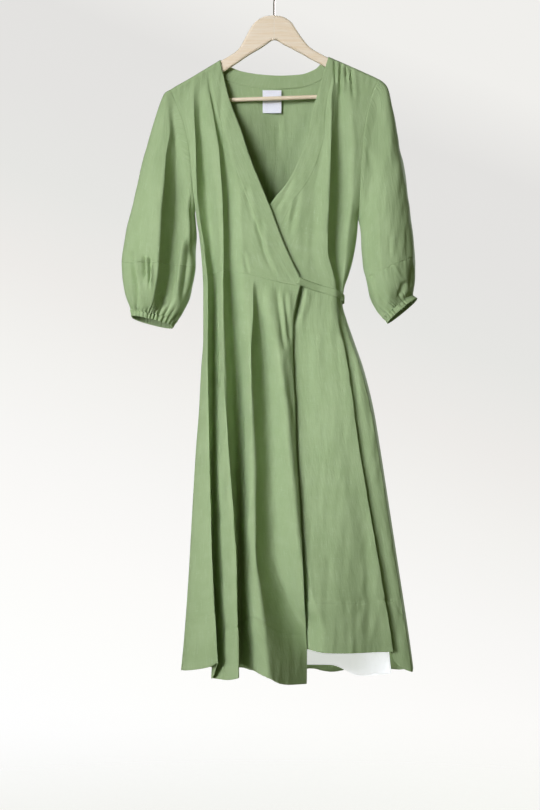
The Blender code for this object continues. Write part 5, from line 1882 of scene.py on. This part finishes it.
@dataclass
class WaistTie:
    """The narrow tie: round the wearer's left side to a knot behind, and a second one across the back."""

    width: float = 12.5
    thick: float = 1.4
    step: float = 2.0            # between neighbouring points along a tie
    columns: int = 9
    wobble: float = 0.3
    wobble_size: Pair = (14.0, 9.0)
    plump: float = 0.35
    rumple: float = 0.25
    rumple_size: Pair = (9.0, 5.0)
    seed: int = 61
    lift: float = 2.0
    tail_lift: float = 3.2
    # How near each of its first points lies to the wrap, which it leaves for the inner front.
    on_wrap: Floats = (1.0, 1.0, 0.75, 0.45, 0.2)
    wrap_lift: float = 2.2
    path: Table = Table("x drop", ((40, 596), (50, 600), (66, 606), (87, 613), (120, 623), (133, 631)))
    front_x: Floats = (46.5, 50.0, 58.0, 68.0, 79.0, 90.0, 102.0, 110.0, 116.0, 121.0, 126.0, 129.5, 131.5)
    back_x: Floats = (131.5, 129.5, 126.0, 121.0, 115.0)
    side_drop: float = 634.0
    slit_drop: float = 592.0
    slit_in: float = 4.0
    rise: float = 0.06
    knot_x: float = 104.0
    knot_size: Triple = (20.0, 9.0, 17.0)
    knot_pinch: Pair = (0.16, 2.6)      # how much, and over what width
    knot_proud: float = 0.25
    # Each of the knot's waves: its strength, and how fast it turns upwards and sideways.
    knot_waves: tuple[Triple, ...] = ((0.9, 0.55, 0.25), (0.5, -0.5, 0.8))
    lay_gap: float = 0.6
    tails: tuple[tuple[str, float, float, float], ...] = (
        ("tie_tail_long", -7.0, -20.0, 215.0), ("tie_tail_short", 7.5, 4.0, 180.0))
    cuts: dict[str, Cut] = field(default_factory=lambda: {
        "waist_tie": Cut(0.0125, 0.15, 1.0, ("linen_bodice_front_left",)),
        "waist_tie_back": Cut(0.0125, 0.24, 1.0, ("linen_bodice_back",)),
        "tie_tail_long": Cut(0.0125, 0.22, 1.0, ("linen_skirt_back",)),
        "tie_tail_short": Cut(0.0125, 0.183, 1.0, ("linen_skirt_back",)),
    })
    pieces: Pieces = field(default_factory=dict)

    def outward(self, surface: Surface, x: float, drop: float, face: int) -> Array:
        """Unit direction away from the body at a point of a surface.

        Args:
            surface: what the tie lies on.
            x: the place across.
            drop: the place down.
            face: -1 on the front and 1 on the back.

        Returns:
            The direction.
        """
        here, right, below = surface(np.array([x, x + 1.0, x]), np.array([drop, drop, drop + 1.0]))
        normal = np.cross(right - here, below - here)
        normal /= np.linalg.norm(normal)
        return normal if normal[1] * face > 0 else -normal

    def along(self, surface: Surface, xs: Array, drops: Array, face: int, lift: float) -> tuple[list, list]:
        """Points just clear of a surface, and the directions out from it there.

        Args:
            surface: what the tie lies on.
            xs: the places across.
            drops: the places down.
            face: -1 on the front and 1 on the back.
            lift: how far clear of it they are.

        Returns:
            The points and the directions.
        """
        outs = [self.outward(surface, x, drop, face) for x, drop in zip(xs, drops)]
        points = [surface(np.array([x]), np.array([drop]))[0] + out * lift
                  for x, drop, out in zip(xs, drops, outs)]
        return points, outs

    def strip(self, name: str, points: list[Array], outs: list[Array], seed: int) -> None:
        """A flat sewn tie along a path.

        Args:
            name: the node it stands for.
            points: places on the tie's inner face.
            outs: the direction out from the body at each.
            seed: picks its unevenness.
        """
        path = np.array(points)
        out = np.array(outs)
        run = unit(np.gradient(path, axis=0))
        total = np.concatenate(((0.0,), np.cumsum(lengths(np.diff(path, axis=0)))))
        count = math.ceil(total[-1] / self.step) + 1
        fine = np.linspace(0.0, total[-1], count)

        def smooth(values: Array) -> Array:
            """Values along the path, read at the fine steps."""
            return np.stack([monotone(total, values[:, axis], fine) for axis in range(3)], axis=-1)

        centre, out, run = smooth(path), smooth(out), smooth(run)
        run = unit(run)
        out = unit(out - run * (out * run).sum(axis=-1, keepdims=True))
        sideways = np.cross(out, run)
        across = np.linspace(-0.5, 0.5, self.columns)
        wobble = self.wobble * uneven(fine, np.zeros_like(fine), self.wobble_size, seed)[:, None]
        rumple = self.rumple * uneven(fine[:, None], across * self.width, self.rumple_size, seed + 1)
        plump = self.plump * (1.0 - (2.0 * across) ** 4) + rumple
        points = centre[:, None] + sideways[:, None] * (across * self.width + wobble)[..., None]
        points = points + out[:, None] * (self.thick + plump)[..., None]
        cloth = np.stack(np.meshgrid(across * self.width, fine), axis=-1)
        grid = Grid(points, cloth)
        if grid.normals()[count // 2, self.columns // 2] @ out[count // 2] < 0:
            grid = Grid(points[:, ::-1], cloth[:, ::-1])
        self.pieces[name] = shell("linen_" + name, grid, self.thick)

    def build(self) -> None:
        """Makes both ties, the knot and its tails."""
        drops = self.path.at("drop", np.array(self.front_x))
        points, outs = self.along(FORM.under_front, self.front_x, drops, -1, self.lift)
        for number, share in enumerate(self.on_wrap):
            place = FORM.wrap_front(np.array([self.front_x[number]]), drops[number:number + 1])[0]
            place = place + outs[number] * self.wrap_lift
            points[number] = points[number] * (1.0 - share) + place * share
        side = float(RIGHT(self.side_drop))
        points.append(np.array((side + self.lift, 0.0, -self.side_drop)))
        outs.append(np.array((1.0, 0.0, 0.0)))
        back_drops = [self.side_drop - self.rise * (side - x) for x in self.back_x]
        behind, behind_outs = self.along(FORM.back, self.back_x, back_drops, 1, self.lift)
        self.strip("waist_tie", points + behind, outs + behind_outs, self.seed)
        first = float(LEFT(self.slit_drop)) + self.slit_in
        steps = np.linspace(0.0, 1.0, 30)
        xs = first + (self.knot_x - self.knot_size[0] / 2.0 - self.lay_gap - first) * steps
        drops = self.slit_drop + (back_drops[-1] - self.slit_drop) * steps
        self.strip("waist_tie_back", *self.along(FORM.back, xs, drops, 1, self.lift), self.seed + 6)
        self.knot = self.knotted(back_drops[-1])
        for number, (name, start, lean, length) in enumerate(self.tails):
            steps = np.linspace(0.0, 1.0, 24)
            drops = back_drops[-1] + self.knot_size[2] / 2.0 + self.lay_gap + length * steps
            xs = self.knot_x + start + lean * steps
            self.strip(name, *self.along(FORM.back, xs, drops, 1, self.tail_lift), self.seed + 12 + number)

    def knotted(self, drop: float) -> Object:
        """The flat knot, pulled in across its middle where one turn of the tie crosses it.

        Args:
            drop: how far down its middle lies.

        Returns:
            The knot.
        """
        out = self.outward(FORM.back, self.knot_x, drop, 1)
        seat = FORM.back(np.array([self.knot_x]), np.array([drop]))[0]
        seat = seat + out * (self.lay_gap + self.knot_size[1] / 2.0)
        bpy.ops.object.select_all(action="DESELECT")
        bpy.ops.mesh.primitive_uv_sphere_add(segments=48, ring_count=28, radius=0.5 * MM)
        piece = bpy.context.active_object
        piece.name = piece.data.name = "linen_tie_knot"
        bpy.ops.object.mode_set(mode="EDIT")
        bpy.ops.mesh.select_all(action="SELECT")
        bpy.ops.transform.resize(value=self.knot_size)
        bpy.ops.object.mode_set(mode="OBJECT")
        for corner in piece.data.vertices:
            x, y, z = corner.co / MM
            turn = sum(strong * math.sin(up * z + over * x) for strong, up, over in self.knot_waves)
            waist = 1.0 - self.knot_pinch[0] * math.exp(-(x / self.knot_pinch[1]) ** 2)
            proud = self.knot_proud * turn * (1 if y > 0 else -1)
            corner.co = Vector((x, y * waist + proud, z * waist)) * MM
            corner.co += Vector(seat) * MM
        bpy.ops.object.shade_smooth()
        flat = piece.data.uv_layers.active
        flat.name = "cloth"
        for corner in piece.data.loops:
            place = piece.data.vertices[corner.vertex_index].co
            flat.data[corner.index].uv = (place.x, place.z)
        return piece

    def dress(self) -> None:
        """Gives the ties and their knot, which is no sheet, their linen."""
        dress_linen(self.pieces, "{}")
        stand_in(self.knot, "tie_knot", LINEN)


@dataclass
class Hanger:
    """The wooden hanger and its wire hook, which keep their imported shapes."""

    finishes: dict[str, Finish] = field(default_factory=lambda: {"hanger_bar": MAPLE, "hanger_hook": WIRE})
    arms: tuple[str, ...] = ("hanger_arm_left", "hanger_arm_right")
    half_thick: float = 4.8
    glued: float = 2.0           # from the joint between the arms, how far each stays square
    pieces: Pieces = field(default_factory=dict)

    def build(self) -> None:
        """Makes both arms from their solids, planed flush across the glued joint between them."""
        for name in self.arms:
            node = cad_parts[name]
            mesh = node.data.copy()
            mesh.transform(node.matrix_world)
            piece = bpy.data.objects.new("maple_" + name, mesh)
            bpy.context.collection.objects.link(piece)
            for corner in mesh.vertices:
                if abs(corner.co.x) < self.glued * MM:
                    corner.co.y = math.copysign(self.half_thick * MM, corner.co.y)
            mesh.name = piece.name
            self.pieces[name] = piece

    def dress(self) -> None:
        """Gives each part its finish."""
        for name, piece in self.pieces.items():
            stand_in(piece, name, MAPLE)
        for name, finish in self.finishes.items():
            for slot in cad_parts[name].material_slots:
                slot.material = material_of(finish)
            log.info("%s: %s", name, finish.name)


# ---- where it is seen
@dataclass(frozen=True)
class Softbox:
    """A square soft light behind a honeycomb grid, which fades its beam towards the edges.

    power is what it would need without the grid, and beam the angle across it in degrees.
    """

    name: str
    place: Triple
    aim: Triple
    size: float
    power: float
    beam: float
    tint: str = "#F3F4FF"

    def build(self) -> None:
        """Puts the light in place."""
        half = math.radians(self.beam) / 2.0
        lamp = bpy.data.lights.new(self.name, "AREA")
        lamp.shape = "SQUARE"
        lamp.size = self.size
        lamp.energy = self.power * (math.tan(half) - half) / math.tan(half)
        lamp.spread = 2.0 * half
        lamp.color = linear(self.tint)[:3]
        holder = bpy.data.objects.new(self.name, lamp)
        holder.location = self.place
        holder.rotation_euler = (Vector(self.aim) - Vector(self.place)).to_track_quat("-Z", "Y").to_euler()
        bpy.context.collection.objects.link(holder)


def sideways(tree: NodeTree, place: NodeSocket) -> NodeSocket:
    """How far a place or a direction reaches from the upright line through the origin."""
    flat = add_node(tree, "VectorMath", {"operation": "MULTIPLY", 1: (1.0, 1.0, 0.0)}, {0: place})
    return add_node(tree, "VectorMath", {"operation": "LENGTH"}, {0: flat.outputs[0]}).outputs["Value"]


@dataclass
class Studio:
    """A pale floor and surroundings, soft light from the left and the camera."""

    camera_place: Triple = (-0.008, -3.2, -0.836)
    frame_tall: float = 1.5633   # metres seen at the dress
    floor_drop: float = 2.4
    floor_size: float = 6.0
    floor_glow: float = 0.75
    softboxes: tuple[Softbox, ...] = (
        Softbox("upper", (-1.75, -3.0, 0.5), (-0.06, 0.0, -0.24), 1.2, 182.0, 36.0),
        Softbox("lower", (-2.15, -2.05, -0.75), (0.0, 0.0, -1.2), 1.3, 128.0, 38.0),
        Softbox("rear", (2.3, 3.4, 0.3), (0.0, 0.0, -0.7), 1.8, 150.0, 60.0),
    )
    shade_tint: str = "#EAF5B0"
    skew: float = 0.4            # how much lower the backdrop's dim part lies towards the right
    # Brightness behind the dress by height, as the tangent of the angle above the level.
    backdrop: tuple[tuple[float, str], ...] = (
        (-0.25, "#FFFFFF"), (-0.19, "#FEFEFC"), (-0.136, "#FCFBF9"), (-0.081, "#F8F7F5"),
        (-0.027, "#F3F2EF"), (0.027, "#EDEBE8"), (0.081, "#E6E6E3"), (0.136, "#E4E3E1"),
        (0.19, "#E3E2E0"), (0.245, "#F0EFEC"),
    )
    ambient: float = 0.12

    def camera(self) -> None:
        """The camera, level and square to the dress."""
        lens = bpy.data.cameras.new("camera")
        lens.sensor_fit = "VERTICAL"
        lens.sensor_height = 24.0
        lens.lens = lens.sensor_height * abs(self.camera_place[1]) / self.frame_tall
        lens.clip_end = 60.0
        holder = bpy.data.objects.new("camera", lens)
        holder.location = self.camera_place
        holder.rotation_euler = (math.pi / 2.0, 0.0, 0.0)
        bpy.context.collection.objects.link(holder)
        bpy.context.scene.camera = holder

    def surroundings(self) -> None:
        """A pale backdrop for the camera that lights the dress more dimly, and evenly."""
        world = bpy.data.worlds.new("studio")
        world.use_nodes = True
        bpy.context.scene.world = world
        tree = world.node_tree
        output = tree.nodes["World Output"]
        away = add_node(tree, "TexCoord").outputs["Generated"]
        parts = add_node(tree, "SeparateXYZ", None, {0: away}).outputs
        rise = add_node(tree, "Math", {"operation": "DIVIDE"}, {0: parts["Z"], 1: sideways(tree, away)})
        low = self.backdrop[0][0]
        high = self.backdrop[-1][0]
        skewed = add_node(tree, "Math", {"operation": "MULTIPLY_ADD", 1: self.skew},
                          {0: parts["X"], 2: rise.outputs[0]})
        share = add_node(tree, "MapRange", {"From Min": low, "From Max": high}, {"Value": skewed.outputs[0]})
        ramp = add_node(tree, "ValToRGB", None, {"Fac": share.outputs[0]})
        stops = ramp.color_ramp.elements
        for number, (tangent, code) in enumerate(self.backdrop):
            place = (tangent - low) / (high - low)
            stop = stops[number] if number < 2 else stops.new(place)
            stop.position = place
            stop.color = linear(code)
        seen = add_node(tree, "Background", {"Strength": 1.0}, {"Color": ramp.outputs["Color"]})
        lit = add_node(tree, "Background", {"Strength": self.ambient, "Color": linear(self.shade_tint)})
        path = add_node(tree, "LightPath")
        both = add_node(tree, "MixShader", None,
                        {0: path.outputs["Is Camera Ray"], 1: lit.outputs[0], 2: seen.outputs[0]})
        tree.links.new(both.outputs[0], output.inputs["Surface"])

    def floor(self) -> None:
        """A pale floor far below the hem, which melts into the backdrop."""
        bpy.ops.object.select_all(action="DESELECT")
        bpy.ops.mesh.primitive_circle_add(vertices=96, radius=self.floor_size, fill_type="NGON")
        ground = bpy.context.active_object
        ground.name = ground.data.name = "studio_floor"
        for corner in ground.data.vertices:
            corner.co.z -= self.floor_drop
        made, shader = new_material("matt white floor paint", {
            "Base Color": linear("#F7F6F3"), "Roughness": 0.9, "Specular IOR Level": 0.2,
            "Emission Color": linear("#FFFFFF")})
        tree = made.node_tree
        place = add_node(tree, "TexCoord").outputs["Object"]
        shown = add_node(tree, "MapRange",
                         {"interpolation_type": "SMOOTHSTEP", "From Min": self.floor_size * 0.25,
                          "From Max": self.floor_size * 0.9, "To Min": 1.0, "To Max": 0.0},
                         {"Value": sideways(tree, place)})
        tree.links.new(shown.outputs[0], shader.inputs["Alpha"])
        path = add_node(tree, "LightPath")
        glow = add_node(tree, "Math", {"operation": "MULTIPLY", 1: self.floor_glow},
                        {0: path.outputs["Is Camera Ray"]})
        tree.links.new(glow.outputs[0], shader.inputs["Emission Strength"])
        ground.data.materials.append(made)
        ground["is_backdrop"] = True

    def build(self) -> None:
        """Sets up the camera, lights, surroundings and floor."""
        self.camera()
        for softbox in self.softboxes:
            softbox.build()
        self.surroundings()
        self.floor()
        bpy.context.scene.view_settings.view_transform = "Standard"


def corners() -> list[list[float]]:
    """The shown object's lowest and highest corners."""
    return [[float(value) for value in corner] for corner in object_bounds()]


def main() -> None:
    """Builds and dresses every part in order."""
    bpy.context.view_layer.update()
    bodice = Bodice()
    assemblies = [bodice, NeckBand(bodice), right_sleeve(), left_sleeve(), Skirt(), Lining(), NeckLabel(),
                  WaistTie(), Hanger()]
    for assembly in assemblies:
        assembly.build()
    for assembly in assemblies:
        assembly.dress()
    Studio().build()
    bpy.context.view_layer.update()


if __name__ == "__main__":
    main()
